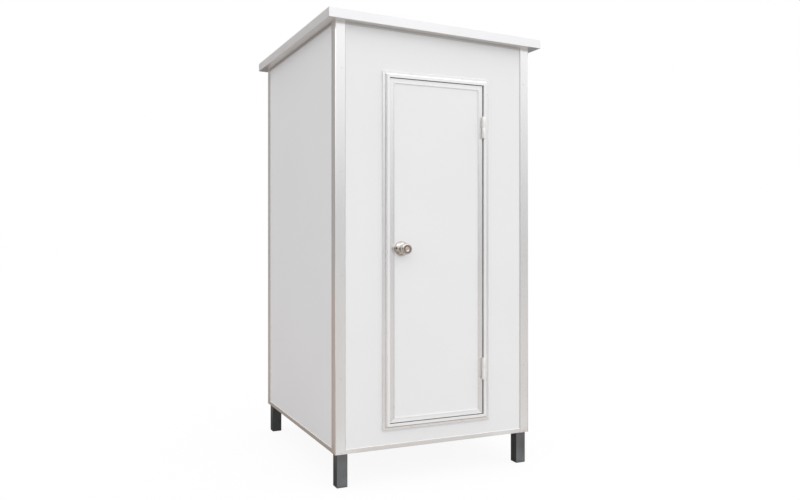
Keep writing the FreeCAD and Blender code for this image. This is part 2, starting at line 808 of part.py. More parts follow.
def leaf_section(across, out):
    """A channel round the leaf's edge, with a raised bead along the inner side of its face."""
    outline = [("0", "0"), ("stile_face - stile_bead", "0"), ("stile_face - stile_bead", "-stile_bead_rise"),
               ("stile_face", "-stile_bead_rise"), ("stile_face", "stile_wall"), ("stile_wall", "stile_wall"),
               ("stile_wall", "leaf_thickness - stile_wall"), ("stile_face", "leaf_thickness - stile_wall"),
               ("stile_face", "leaf_thickness"), ("0", "leaf_thickness")]
    return [(across(a), out(b)) for a, b in outline]


def make_leaf():
    """The leaf: an infill panel in a mitred frame of two stiles and two rails."""
    def out(depth):
        return f"{LEAF_FRONT} + ({depth})"
    reach = "(stile_face + 10)"
    tall = f"({LEAF_TOP} - {LEAF_BOTTOM})"
    wide = f"({LEAF_RIGHT} - {LEAF_LEFT})"
    for name, edge, sign in (("leaf_stile_lock", LEAF_LEFT, "+"), ("leaf_stile_hinge", LEAF_RIGHT, "-")):
        def across(distance, edge=edge, sign=sign):
            return f"{edge} {sign} ({distance})"
        body = prism(name, "XY_Plane", [leaf_section(across, out)], LEAF_BOTTOM, tall)
        inward = across(reach)
        corners = [[(edge, "0"), (inward, "0"), (inward, reach)],
                   [(edge, tall), (inward, tall), (inward, f"{tall} - {reach}")]]
        cut_through(body, f"{name}_mitre", "XZ_Plane", corners)
        node(body)
    rails = []
    for name, edge, sign in (("leaf_rail_top", LEAF_TOP, "-"), ("leaf_rail_bottom", LEAF_BOTTOM, "+")):
        def up(distance, edge=edge, sign=sign):
            return f"{edge} {sign} ({distance})"
        loop = [(y, z) for z, y in leaf_section(up, out)]
        body = prism(name, "YZ_Plane", [loop], LEAF_LEFT, wide)
        inward = up(reach)
        corners = [[("0", edge), ("0", inward), (reach, inward)],
                   [(wide, edge), (wide, inward), (f"{wide} - {reach}", inward)]]
        cut_through(body, f"{name}_mitre", "XZ_Plane", corners)
        rails.append(body)
    node(group("leaf_rails", rails))
    panel = box_loop(f"{LEAF_LEFT} + stile_wall", f"{LEAF_BOTTOM} + stile_wall",
                     f"{LEAF_RIGHT} - stile_wall", f"{LEAF_TOP} - stile_wall")
    body = prism("leaf_panel", "XZ_Plane", [panel], f"{LEAF_FRONT} + stile_wall",
                 "leaf_thickness - 2 * stile_wall", circles=[(KNOB_X, KNOB_Z, "cross_bore_radius")])
    bore_for_latch(body, f"{LEAF_FRONT} + stile_wall", "0")
    node(body)
    bore_for_latch(NODES["leaf_stile_lock"], "0", LEAF_BOTTOM)


def bore_for_latch(body, body_y, body_z):
    """Bore the body from the leaf's lock edge as far as the knob's axis."""
    bore = body.newObject("Sketcher::SketchObject", f"{body.Name}_latch_bore")
    bore.AttachmentSupport = [(base_plane(body, "YZ_Plane"), "")]
    bore.MapMode = "FlatFace"
    bore.setExpression("AttachmentOffset.Base.z", bound(KNOB_X))
    draw_circle(bore, f"{LEAF_MIDDLE} - ({body_y})", f"{KNOB_Z} - ({body_z})",
                "latch_case_radius + latch_clearance")
    pocket = body.newObject("PartDesign::Pocket", f"{body.Name}_latch_cut")
    pocket.Profile = bore
    tie(pocket, Length="backset + 5")
    body.Tip = pocket


def make_hinges():
    """Two lift-off hinges. The frame half's knuckle is the lower one and carries the pin; the
    door half's knuckle sits over it. Their flaps lie in the gap beside the leaf."""
    jamb_face = f"({DOOR_RIGHT} - frame_face)"
    clear = "(hinge_radius + 1)"
    frame_halves, door_halves = [], []
    for where, height in (("low", "hinge_low_height"), ("high", "hinge_high_height")):
        foot = f"({UNDERSIDE} + {height} - hinge_length / 2)"
        half = "(hinge_length / 2 - hinge_split_gap / 2)"
        upper = f"({foot} + hinge_length / 2 + hinge_split_gap / 2)"
        flap_y = f"({HINGE_Y} + {clear})"
        name = f"hinge_{where}"
        knuckle = cylinder(f"{name}_frame_knuckle", HINGE_X, HINGE_Y, foot, "hinge_radius", half)
        pin = cylinder(f"{name}_pin", HINGE_X, HINGE_Y, foot, "hinge_pin_radius", "hinge_length - 8")
        neck = box(f"{name}_frame_neck", f"{jamb_face} - hinge_flap", HINGE_Y, foot,
                   "hinge_flap", clear, half)
        flap = box(f"{name}_frame_flap", f"{jamb_face} - hinge_flap", flap_y, foot,
                   "hinge_flap", "hinge_flap_depth", "hinge_length")
        frame_halves.append(fuse(f"{name}_frame_half", knuckle, pin, neck, flap))
        knuckle = cylinder(f"{name}_door_knuckle", HINGE_X, HINGE_Y, upper, "hinge_radius", half)
        neck = box(f"{name}_door_neck", LEAF_RIGHT, HINGE_Y, upper, "hinge_flap", clear, half)
        flap = box(f"{name}_door_flap", LEAF_RIGHT, flap_y, foot, "hinge_flap",
                   "hinge_flap_depth", "hinge_length")
        whole = fuse(f"{name}_door_whole", knuckle, neck, flap)
        bore = cylinder(f"{name}_bore", HINGE_X, HINGE_Y, f"{upper} - 1",
                        "hinge_pin_radius + hinge_pin_clearance", f"{half} - 6")
        door_halves.append(cut(f"{name}_door_half", whole, bore))
    node(group("hinge_frame_halves", frame_halves))
    node(group("hinge_door_halves", door_halves))


# Knob latch

def face_out(body, outside):
    """Stand a turned body on the leaf with its axis along the knob's axis."""
    turn = 90 if outside else -90
    body.Placement.Rotation = Rotation(Vector(1, 0, 0), turn)
    face = f"{LEAF_FRONT} + stile_wall" if outside else f"{LEAF_BACK} - stile_wall"
    place(body, KNOB_X, face, KNOB_Z)


def rose(name, outside):
    """A tapering rose with a hole for the knob's neck."""
    body = new_body(name)
    hole = "(knob_neck_radius + latch_clearance)"
    loop = [(hole, "0"), ("rose_radius", "0"), ("rose_radius", "rose_edge"),
            ("rose_top_radius", "rose_height"), (hole, "rose_height")]
    revolve(body, f"{name}_half", loop)
    face_out(body, outside)
    return body


def knob_loop(spindle):
    """Half of a knob: neck, tapering back, rim, shoulder and a dished face.
    With a spindle, the outer knob's reaches through the leaf to the inner knob's neck."""
    end = "knob_projection"
    floor = f"({end} - knob_dish_depth)"
    seat = f"({floor} - key_depth)"
    hole = "(plug_radius + latch_clearance)"
    loop = [("knob_neck_radius", "knob_neck_gap"), ("knob_neck_radius", "knob_neck_length"),
            ("knob_radius", f"{end} - knob_shoulder - knob_rim_width"),
            ("knob_radius", f"{end} - knob_shoulder"),
            ("knob_face_radius", end), ("knob_face_radius - knob_face_ring", end),
            ("knob_dish_radius", floor), (hole, floor), (hole, seat), ("0", seat)]
    if spindle:
        through = "(leaf_thickness - 2 * stile_wall + knob_neck_gap)"
        loop += [("0", f"-{through}"), ("spindle_radius", f"-{through}"),
                 ("spindle_radius", "knob_neck_gap")]
    else:
        loop += [("0", "knob_neck_gap")]
    return loop


def make_knob_latch():
    """Roses, knobs, key plug, turn button, tubular latch and strike."""
    node(group("rose_plates", [rose("rose_outer", True), rose("rose_inner", False)]))
    for name, outside in (("knob_outer", True), ("knob_inner", False)):
        body = new_body(name)
        revolve(body, f"{name}_half", knob_loop(spindle=outside))
        face_out(body, outside)
        node(body)
    seat = "(knob_projection - knob_dish_depth - key_depth)"
    key = new_body("key_plug")
    revolve(key, "key_half", [("0", seat), ("plug_radius", seat),
                              ("plug_radius", f"{seat} + 13"), ("0", f"{seat} + 13")])
    slot = draw(key, "key_slot", "XY_Plane",
                [box_loop("-key_slot_width / 2", "-plug_radius * 0.6", "key_slot_width / 2", "plug_radius * 0.6")],
                level=f"{seat} + 13")
    pocket = key.newObject("PartDesign::Pocket", "key_slot_cut")
    pocket.Profile = slot
    tie(pocket, Length="key_slot_depth")
    key.Tip = pocket
    face_out(key, True)
    node(key)
    button = new_body("turn_button")
    revolve(button, "button_half", [("0", seat), ("plug_radius", seat), ("plug_radius", f"{seat} + 11"),
                                    ("button_radius", f"{seat} + 11"),
                                    ("button_radius", f"{seat} + 11 + button_length"),
                                    ("0", f"{seat} + 11 + button_length")])
    grip = "(button_radius * 0.45)"
    sides = [box_loop(grip, "-2 * button_radius", "2 * button_radius", "2 * button_radius"),
             box_loop("-2 * button_radius", "-2 * button_radius", f"-{grip}", "2 * button_radius")]
    flats = draw(button, "button_flats", "XY_Plane", sides, level=f"{seat} + 12 + button_length")
    pocket = button.newObject("PartDesign::Pocket", "button_flats_cut")
    pocket.Profile = flats
    tie(pocket, Length="button_length")
    button.Tip = pocket
    face_out(button, False)
    node(button)
    case = cylinder("case_outer", LEAF_LEFT, LEAF_MIDDLE, KNOB_Z, "latch_case_radius",
                    "latch_case_length", "X")
    bore = cylinder("case_bore", f"{LEAF_LEFT} - 1", LEAF_MIDDLE, KNOB_Z,
                    "bolt_radius + latch_clearance", "latch_case_length + 2", "X")
    node(cut("latch_case", case, bore))
    bolt = prism("latch_bolt", "YZ_Plane", [], f"{LEAF_LEFT} + 0.5", "bolt_length",
                 circles=[(LEAF_MIDDLE, KNOB_Z, "bolt_radius")])
    bevel = [("-1", f"{LEAF_MIDDLE} - bolt_radius * 0.4"), ("bolt_bevel", f"{LEAF_MIDDLE} + bolt_radius + 1"),
             ("-1", f"{LEAF_MIDDLE} + bolt_radius + 1")]
    cut_through(bolt, "bolt_bevel_section", "XY_Plane", [bevel])
    node(bolt)
    plate_x = f"{DOOR_LEFT} + frame_face - frame_wall"
    plate = box("strike_outer", plate_x, f"{LEAF_MIDDLE} - strike_width / 2",
                f"{KNOB_Z} - strike_length / 2", "frame_wall", "strike_width", "strike_length")
    mouth = "(bolt_radius + strike_clearance)"
    hole = box("strike_hole", f"{plate_x} - 1", f"{LEAF_MIDDLE} - {mouth}", f"{KNOB_Z} - {mouth} * 1.5",
               "frame_wall + 2", f"2 * {mouth}", f"3 * {mouth}")
    node(cut("strike_plate", plate, hole))


# Toilet

def horseshoe(width, back, front):
    """A straight back and sides with a round front of half the width."""
    half = f"({width}) / 2"
    turn = f"{front} + {half}"
    return [(f"-({half})", back), (f"-({half})", turn, {"y": turn, "left": True}), (half, turn), (half, back)]


def make_toilet():
    """The pan with its seat and lid, and the cistern with its lid and flush parts."""
    body = new_body("toilet_pan")
    heel = f"({PAN_BACK} - foot_setback)"
    foot = draw(body, "pan_foot", "XY_Plane", [horseshoe("foot_width", heel, f"{heel} - foot_length")])
    add_pad(body, foot, "pan_rim_height - rim_band")
    belly = draw(body, "pan_belly", "XY_Plane", [horseshoe("pan_width", PAN_BACK, PAN_NOSE)],
                 level="pan_rim_height - rim_band")
    add_pad(body, belly, "belly_height", downward=True, taper="-belly_taper_angle")
    rim = draw(body, "pan_rim", "XY_Plane", [horseshoe("pan_width", PAN_BACK, PAN_NOSE)],
               level="pan_rim_height - rim_band")
    add_pad(body, rim, "rim_band")
    mouth = draw(body, "bowl_mouth", "XY_Plane",
                 [horseshoe("bowl_width", f"{BOWL_FRONT} + bowl_length", BOWL_FRONT)],
                 level="pan_rim_height")
    pocket = body.newObject("PartDesign::Pocket", "bowl_cut")
    pocket.Profile = mouth
    tie(pocket, Length="bowl_depth", TaperAngle="-bowl_taper_angle")
    body.Tip = pocket
    bore_outlet(body)
    place(body, z=DECK_TOP)
    node(body)
    make_seat_and_lid()
    make_cistern()


def add_pad(body, sketch, length, downward=False, taper=None):
    """Pad the sketch by length, drawn in towards its far end where a taper is given."""
    pad = body.newObject("PartDesign::Pad", f"{sketch.Name}_pad")
    pad.Profile = sketch
    pad.Reversed = downward
    tie(pad, Length=length)
    if taper:
        tie(pad, TaperAngle=taper)
    body.Tip = pad


def bore_outlet(body):
    """Lead the bowl's outlet straight down through the foot."""
    bore = draw(body, "outlet_bore", "XY_Plane", [], circles=[("0", WASTE_Y, "outlet_radius")])
    pocket = body.newObject("PartDesign::Pocket", "outlet_bore_cut")
    pocket.Profile = bore
    pocket.Reversed = True
    tie(pocket, Length="pan_rim_height - bowl_depth + outlet_radius")
    body.Tip = pocket


def ear(low, plate_top):
    """Side view of a hinge ear: an eye about the pin that runs forward into the plate."""
    eye = "(seat_pin_radius + seat_ear_wall)"
    reach = "(seat_hinge_inset + 16)"
    return [(f"-{reach}", low), ("-seat_hinge_inset", low), (f"-{eye}", f"-{eye}"), (eye, f"-{eye}"),
            (eye, eye), (f"-{eye}", eye), ("-seat_hinge_inset", plate_top), (f"-{reach}", plate_top)]


def add_ears(body, name, profile, inner):
    """Two ears, one each side of the middle, drawn from the side."""
    for side, start in (("left", f"-({inner}) - seat_ear_width"), ("right", inner)):
        sketch = draw(body, f"{name}_{side}", "YZ_Plane", [profile], level=start)
        pad = body.newObject("PartDesign::Pad", f"{name}_{side}_pad")
        pad.Profile = sketch
        tie(pad, Length="seat_ear_width")
        body.Tip = pad
    cut_through(body, f"{name}_bore", "YZ_Plane", [],
                circles=[("0", "0", "seat_pin_radius + seat_pin_clearance")])


def hinged_plate(name, width, front, bottom, thickness, hole=None):
    """A horseshoe plate drawn about the hinge pin's axis."""
    body = new_body(name)
    loops = [horseshoe(width, "-seat_hinge_inset", f"{front} - {SEAT_AXIS_Y}")]
    if hole:
        loops.append(hole)
    sketch = draw(body, f"{name}_outline", "XY_Plane", loops, level=bottom)
    pad = body.newObject("PartDesign::Pad", f"{name}_pad")
    pad.Profile = sketch
    tie(pad, Length=thickness)
    body.Tip = pad
    return body


def make_seat_and_lid():
    """Seat and lid on a common pin that two posts hold above the back of the pan. The lid is raised."""
    seat_low = "(-seat_pin_radius - seat_thickness)"
    outer_ear = "(seat_post_spacing / 2 - 12 - seat_ear_width)"
    inner_ear = f"({outer_ear} - 1 - seat_ear_width)"
    hole = horseshoe("pan_width - 2 * seat_rim", "-seat_hinge_inset - seat_rim",
                     f"{PAN_NOSE} + seat_rim - {SEAT_AXIS_Y}")
    seat = hinged_plate("toilet_seat", "pan_width", PAN_NOSE, seat_low, "seat_thickness", hole)
    add_ears(seat, "seat_ear", ear(f"{seat_low} + 3", "-seat_pin_radius"), outer_ear)
    place(seat, "0", SEAT_AXIS_Y, SEAT_AXIS_Z)
    node(seat)
    lid = hinged_plate("toilet_lid", "pan_width - 6", f"{PAN_NOSE} + 4", "lid_gap - seat_pin_radius",
                       "lid_thickness")
    add_ears(lid, "lid_ear", ear("lid_gap - seat_pin_radius", "lid_thickness - seat_pin_radius"), inner_ear)
    lid.Placement.Rotation = Rotation(Vector(1, 0, 0), -1)
    tie(lid, Placement__Rotation__Angle="-lid_open_angle")
    place(lid, "0", SEAT_AXIS_Y, SEAT_AXIS_Z)
    node(lid)
    pin = cylinder("seat_pin", "-seat_post_spacing / 2 - 12", SEAT_AXIS_Y, SEAT_AXIS_Z,
                   "seat_pin_radius", "seat_post_spacing + 24", "X")
    posts = []
    for side, x in (("left", "-seat_post_spacing / 2 - 8"), ("right", "seat_post_spacing / 2 - 8")):
        posts.append(box(f"seat_post_{side}", x, f"{SEAT_AXIS_Y} - 8", RIM_TOP, "16", "16",
                         f"{SEAT_AXIS_Z} - {RIM_TOP} + seat_pin_radius + 3"))
    node(fuse("seat_hinge", pin, *posts))


def make_cistern():
    """An open-topped cistern on the back of the pan, its lid, the press button in the lid and
    the flush valve that the button presses."""
    x = "-cistern_width / 2"
    inner = "2 * cistern_wall"
    middle = f"{CISTERN_FRONT} + cistern_depth / 2"
    top = f"({RIM_TOP} + cistern_height)"
    outer = box("cistern_outer", x, CISTERN_FRONT, RIM_TOP, "cistern_width",
                "cistern_depth", "cistern_height")
    well = box("cistern_well", f"{x} + cistern_wall", f"{CISTERN_FRONT} + cistern_wall",
               f"{RIM_TOP} + cistern_wall", f"cistern_width - {inner}", f"cistern_depth - {inner}",
               "cistern_height")
    hole = cylinder("cistern_inlet_hole", INLET_X, f"{REAR} - {PANEL_BACK} - 2 * cistern_wall", INLET_Z,
                    "inlet_neck_radius + inlet_hole_clearance", "3 * cistern_wall", "Y")
    node(cut("cistern", outer, well, hole))
    lid = box("cistern_lid_block", f"{x} - cistern_lid_lip", f"{CISTERN_FRONT} - cistern_lid_lip", top,
              "cistern_width + 2 * cistern_lid_lip", "cistern_depth + cistern_lid_lip",
              "cistern_lid_height")
    bore = cylinder("button_bore", "0", middle, f"{top} - 1", "button_press_radius + button_press_gap",
                    "cistern_lid_height + 2")
    node(cut("cistern_lid", lid, bore))
    cap = cylinder("button_cap", "0", middle, f"{top} + cistern_lid_height - 8", "button_press_radius", "9")
    stem_foot = f"({RIM_TOP} + valve_height + button_press_travel)"
    stem = cylinder("button_stem", "0", middle, stem_foot, "5", f"{top} + cistern_lid_height - 7 - {stem_foot}")
    node(fuse("flush_button", cap, stem))
    node(cylinder("flush_valve", "0", middle, f"{RIM_TOP} + cistern_wall", "valve_radius",
                  "valve_height - cistern_wall"))


def make_pipes():
    """The waste pipe on its flange under the deck, and the water inlet through the rear wall."""
    foot = f"({UNDERSIDE} - waste_drop)"
    drop = "(waste_drop + beam_size)"
    outer = cylinder("waste_outer", "0", WASTE_Y, foot, "waste_radius", drop)
    flange = cylinder("waste_flange", "0", WASTE_Y, f"{foot} + {drop} - flange_thickness",
                      "flange_radius", "flange_thickness")
    bore = cylinder("waste_bore", "0", WASTE_Y, f"{foot} - 1", "waste_radius - waste_wall", f"{drop} + 2")
    node(cut("waste_pipe", fuse("waste_body", outer, flange), bore))
    start = f"({REAR} - {PANEL_BACK} - cistern_wall - inlet_end)"
    skin = f"({REAR} - post_wall)"
    neck = cylinder("inlet_neck", INLET_X, start, INLET_Z, "inlet_neck_radius", f"{skin} - {start}", "Y")
    nut = doc.addObject("Part::Prism", "inlet_nut")
    nut.Polygon = 6
    tie(nut, Circumradius="inlet_nut_width / sqrt(3)", Height="inlet_nut_height")
    nut.Placement.Rotation = Rotation(Vector(1, 0, 0), -90)
    place(nut, INLET_X, skin, INLET_Z)
    spigot = cylinder("inlet_spigot", INLET_X, skin, INLET_Z, "inlet_radius", "post_wall + inlet_reach", "Y")
    length = f"({REAR} + inlet_reach - {start})"
    bore = cylinder("inlet_bore", INLET_X, f"{start} - 1", INLET_Z, "inlet_bore_radius", f"{length} + 2", "Y")
    node(cut("water_inlet", fuse("inlet_body", neck, nut, spigot), bore))


# Fittings

def make_vent():
    """A louvred vent on the rear wall: a bordered frame with sloping blades."""
    top = vent_level()
    frame = box("vent_frame", "-vent_width / 2", f"{REAR} - post_wall", f"{top} - vent_height",
                "vent_width", "vent_depth", "vent_height")
    window = box("vent_window", "-vent_width / 2 + vent_border", f"{REAR} - post_wall - 1",
                 f"{top} - vent_height + vent_border", "vent_width - 2 * vent_border",
                 "vent_depth + 2", "vent_height - 2 * vent_border")
    parts = [cut("vent_surround", frame, window)]
    for index in range(VENT_BLADES):
        height = f"{top} - vent_border - {index} * vent_pitch"
        blade = prism(f"vent_blade_{index + 1}", "YZ_Plane", [[
            (f"{REAR} - post_wall + 1", f"{height} - 1"),
            (f"{REAR} - post_wall + vent_depth - 1", f"{height} - vent_pitch * 0.8"),
            (f"{REAR} - post_wall + vent_depth - 1", f"{height} - vent_pitch * 0.8 + vent_blade"),
            (f"{REAR} - post_wall + 1", f"{height} - 1 + vent_blade")]],
            "-vent_width / 2 + vent_border - 1", "vent_width - 2 * vent_border + 2")
        parts.append(blade)
    node(fuse("vent_louvre", *parts))


def make_lamp():
    """A round ceiling lamp that follows the roof's fall: a flat base and a lens with a sloping rim."""
    base = new_body("lamp_base")
    low = "-lamp_base_height"
    revolve(base, "lamp_base_half", [("0", low), ("lamp_radius", low), ("lamp_radius", "0"), ("0", "0")])
    lens = new_body("lamp_lens")
    face = "-(lamp_base_height + lamp_lens_height)"
    rim = "(lamp_radius - lamp_lens_inset)"
    revolve(lens, "lamp_lens_half", [("0", face), (f"{rim} - lamp_lens_slope", face),
                                     (rim, f"{face} + lamp_lens_slope"), (rim, low), ("0", low)])
    for body in (base, lens):
        body.Placement.Rotation = Rotation(Vector(0, 1, 0), 1)
        tie(body, Placement__Rotation__Angle="atan(roof_fall_ratio)")
        place(body, "0", "-cabin_depth / 10", f"{eave_at('0')} + fascia_wall")
        node(body)


def make_roll():
    """A paper roll on a one-armed holder that is screwed to the left wall."""
    wall = f"({LEFT} + {PANEL_BACK})"
    y = f"({REAR} - {PANEL_BACK} - pan_length - roll_setback)"
    z = f"({DECK_TOP} + roll_height)"
    plate = box("roll_plate", wall, f"{y} - 25", f"{z} - 25", "5", "50", "50")
    arm = box("roll_arm", wall, f"{y} - 4", f"{z} - 10", "roll_arm_reach", "8", "20")
    spindle = cylinder("roll_spindle", f"{wall} + roll_arm_reach", f"{y} - 4", z,
                       "roll_spindle_radius", "roll_width + 12", "-Y")
    hub = cylinder("roll_hub", f"{wall} + roll_arm_reach", f"{y} + 4", z, "roll_spindle_radius + 4",
                   "8", "-Y")
    node(fuse("roll_holder", plate, arm, hub, spindle))
    start = f"{y} - 5"
    outer = cylinder("roll_outer", f"{wall} + roll_arm_reach", start, z, "roll_radius",
                     "roll_width", "-Y")
    core = cylinder("roll_core", f"{wall} + roll_arm_reach", f"{start} + 1", z, "roll_core_radius",
                    "roll_width + 2", "-Y")
    node(cut("toilet_roll", outer, core))


make_legs()
make_chassis()
make_floor()
make_posts()
make_bottom_rails()
make_head_rails()
make_walls()
make_roof()
make_door_frame()
make_seal()
make_leaf()
make_hinges()
make_knob_latch()
make_toilet()
make_pipes()
make_vent()
make_lamp()
make_roll()
doc.recompute()

for item in doc.Objects:
    bad = [state for state in item.State if state in ("Invalid", "Error")]
    if bad:
        raise RuntimeError(f"{item.Name} has failed: {bad}")
for name, thing in NODES.items():
    shape = thing.Shape
    if shape.isNull() or not shape.isValid() or not shape.Solids:
        raise RuntimeError(f"{name} has no valid solid")

os.makedirs("parts", exist_ok=True)
for name, thing in NODES.items():
    thing.Shape.exportStep(f"parts/{name}.step")
print(f"{len(NODES)} nodes")
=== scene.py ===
import json
import math

import bpy
from mathutils import Matrix, Vector


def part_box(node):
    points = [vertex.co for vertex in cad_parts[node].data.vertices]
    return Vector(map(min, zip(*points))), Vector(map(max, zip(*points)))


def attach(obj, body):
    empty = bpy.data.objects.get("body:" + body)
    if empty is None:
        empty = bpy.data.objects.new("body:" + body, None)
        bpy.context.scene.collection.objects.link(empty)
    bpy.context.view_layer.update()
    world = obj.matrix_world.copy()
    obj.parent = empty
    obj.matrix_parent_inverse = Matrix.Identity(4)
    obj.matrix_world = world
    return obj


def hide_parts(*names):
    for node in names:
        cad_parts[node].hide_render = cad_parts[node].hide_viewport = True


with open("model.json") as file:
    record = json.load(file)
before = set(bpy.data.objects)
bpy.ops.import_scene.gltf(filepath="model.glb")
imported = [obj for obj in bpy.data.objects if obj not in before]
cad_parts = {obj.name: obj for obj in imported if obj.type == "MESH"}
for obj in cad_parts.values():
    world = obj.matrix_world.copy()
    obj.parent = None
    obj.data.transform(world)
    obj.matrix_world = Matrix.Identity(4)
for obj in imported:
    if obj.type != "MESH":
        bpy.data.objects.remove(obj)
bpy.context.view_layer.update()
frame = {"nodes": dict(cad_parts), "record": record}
nodes = frame["nodes"]


# Directions, and places and sizes of the frame's pieces in metres

MM = 0.001
LEFT, RIGHT = (-1, 0, 0), (1, 0, 0)
OUT, IN = (0, -1, 0), (0, 1, 0)
DOWN, UP = (0, 0, -1), (0, 0, 1)

FRONT_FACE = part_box("wall_panel_front")[0][1]
REAR_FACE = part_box("wall_panel_rear")[1][1]
LEFT_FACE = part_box("wall_panel_left")[0][0]
RIGHT_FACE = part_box("wall_panel_right")[1][0]
# The posts' outer and inner corners, and how far the white painted highlight reaches round their rounded
# arris
POST_LOW, INNER_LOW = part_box("corner_post_front_left")
INNER_HIGH, POST_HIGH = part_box("corner_post_rear_right")
ARRIS_HIGHLIGHT = 2.2 * MM

FRAME_LOW, FRAME_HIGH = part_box("door_jamb_lock")[0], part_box("door_jamb_hinge")[1]
FRAME_LIP = 14 * MM
LIP_RISE = 8 * MM
BAND_COAT = 2.5 * MM
BAND_PLANE = FRAME_LOW[1] + BAND_COAT
LOCK_GAP = 3 * MM
HINGE_GAP = 8 * MM
# The opening between the jambs, with a little of their metal
SKIN = 0.5 * MM
OPENING = (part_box("leaf_stile_lock")[0][0] - LOCK_GAP - SKIN,
           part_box("leaf_stile_hinge")[1][0] + HINGE_GAP + SKIN)
LEAF_MIDDLE = (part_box("leaf_rails")[0][1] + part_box("leaf_rails")[1][1]) / 2

ROSE_LOW, ROSE_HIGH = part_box("rose_plates")
ROSE_RISE = 20 * MM
KNOB_X = (ROSE_LOW[0] + ROSE_HIGH[0]) / 2
KNOB_Z = (ROSE_LOW[2] + ROSE_HIGH[2]) / 2
INFILL_FRONT = ROSE_LOW[1] + ROSE_RISE
INFILL_BACK = ROSE_HIGH[1] - ROSE_RISE

LEG_LOW, LEG_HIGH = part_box("leg_front_right")


# Shader nodes

def new_material(name):
    """A material with its node tree and its shader."""
    material = bpy.data.materials.new(name)
    material.use_nodes = True
    return material, material.node_tree, material.node_tree.nodes["Principled BSDF"]


def feed(tree, node, inputs):
    """Give the node its inputs, by name or number. Each is a number, a vector, a colour or another
    node's result."""
    for key, value in inputs.items():
        socket = node.inputs[key]
        if isinstance(value, bpy.types.NodeSocket):
            tree.links.new(value, socket)
        elif socket.type == "RGBA":
            socket.default_value = (*value, 1)
        else:
            socket.default_value = value


def add(tree, kind, inputs):
    """Add a node, and give its outputs."""
    node = tree.nodes.new("ShaderNode" + kind)
    feed(tree, node, inputs)
    return node.outputs


def maths(tree, operation, first, second=0.0):
    """One step of arithmetic."""
    node = tree.nodes.new("ShaderNodeMath")
    node.operation = operation
    feed(tree, node, {0: first, 1: second})
    return node.outputs["Value"]


def vector_maths(tree, operation, *vectors):
    """The outputs of one step of arithmetic on vectors."""
    node = tree.nodes.new("ShaderNodeVectorMath")
    node.operation = operation
    feed(tree, node, dict(enumerate(vectors)))
    return node.outputs


def mix(tree, factor, first, second):
    """The first colour where the factor is zero, and the second where it is one."""
    node = tree.nodes.new("ShaderNodeMix")
    node.data_type = "RGBA"
    feed(tree, node, {"Factor": factor, "A": first, "B": second})
    return node.outputs["Result"]


def mix_shaders(tree, factor, first, second):
    """The first shader where the factor is zero, and the second where it is one."""
    return add(tree, "MixShader", {"Fac": factor, 1: first, 2: second})["Shader"]


def ramp(tree, value, low, high, out_low=0.0, out_high=1.0):
    """Map the value from the first range to the second, and hold it inside the second."""
    return add(tree, "MapRange", {"Value": value, "From Min": low, "From Max": high,
                                  "To Min": out_low, "To Max": out_high})["Result"]


def inverse(tree, value):
    """One minus the value."""
    return maths(tree, "SUBTRACT", 1.0, value)


def under(tree, value, limit, soft=0.2 * MM):
    """One under the limit and zero over it."""
    return ramp(tree, value, limit - soft, limit + soft, 1, 0)


def within(tree, value, low, high, soft=0.2 * MM):
    """One between the two limits and zero outside them."""
    return maths(tree, "MULTIPLY", inverse(tree, under(tree, value, low, soft)),
                 under(tree, value, high, soft))


def toward(tree, vector, direction):
    """The vector's reach in the direction."""
    return vector_maths(tree, "DOT_PRODUCT", vector, direction)["Value"]


def own_place(tree):
    """The place on the piece, in its own coordinates."""
    return tree.nodes.new("ShaderNodeTexCoord").outputs["Object"]


def separate(tree, vector):
    """The vector's X, Y and Z."""
    return add(tree, "SeparateXYZ", {"Vector": vector})


def noise(tree, scale, detail=3.0, stretch=(1, 1, 1)):
    """Fractal noise in the piece's own coordinates."""
    place = add(tree, "Mapping", {"Vector": own_place(tree), "Scale": stretch})["Vector"]
    return add(tree, "TexNoise", {"Vector": place, "Scale": scale, "Detail": detail})["Fac"]


def bump(tree, height, strength, distance):
    """The normal of a surface that has the height on it."""
    return add(tree, "Bump", {"Height": height, "Strength": strength, "Distance": distance})["Normal"]


def scaled(colour, factor):
    """The colour made darker or lighter."""
    return tuple(factor * part for part in colour)


# Materials

# The middle parts of a noise's range that tones and roughnesses follow, the wider part first
NOISE_SPAN = (0.3, 0.7)
TONE_SPAN = (0.35, 0.65)
GRAIN_STRETCH = 0.01
ALUMINIUM_TONES = ((0.893, 0.89, 0.89), (0.917, 0.915, 0.917))
ALUMINIUM_METAL = 0.93
# White for the door frame's coated bands, and for the painted highlight on the posts' arris
WHITE_COAT_AND_HIGHLIGHT = (0.85, 0.85, 0.855)
WHITE_COAT_AND_HIGHLIGHT_METAL = 0.25
PANEL_TONES = ((0.786, 0.786, 0.795), (0.797, 0.797, 0.806))
TISSUE_TONES = ((0.76, 0.755, 0.745), (0.86, 0.86, 0.855))
TISSUE_PITCH = 1.6 * MM


def plain(name, colour, rough, metal=0.0, specular=0.5, coat=0.0, grain=6.0, tint=0.02):
    """A finish whose tone and roughness vary a little, with a noise of the grain's scale."""
    material, tree, shader = new_material(name)
    cloud = noise(tree, grain)
    feed(tree, shader, {
        "Metallic": metal,
        "Specular IOR Level": specular,
        "Coat Weight": coat,
        "Base Color": mix(tree, ramp(tree, cloud, *TONE_SPAN), scaled(colour, 1 - tint),
                          scaled(colour, 1 + tint)),
        "Roughness": ramp(tree, cloud, *NOISE_SPAN, rough * 0.92, rough * 1.08),
    })
    return material


def band_coat(tree, place):
    """The outer face of the door frame's raised band."""
    return under(tree, place["Y"], BAND_PLANE)


def jamb_coat(tree, place):
    """The band's outer face, and the jambs' sides in the opening."""
    return maths(tree, "MAXIMUM", band_coat(tree, place), within(tree, place["X"], *OPENING))


def rail_coat(tree, place):
    """The outer half of the leaf's rails."""
    return under(tree, place["Y"], LEAF_MIDDLE)


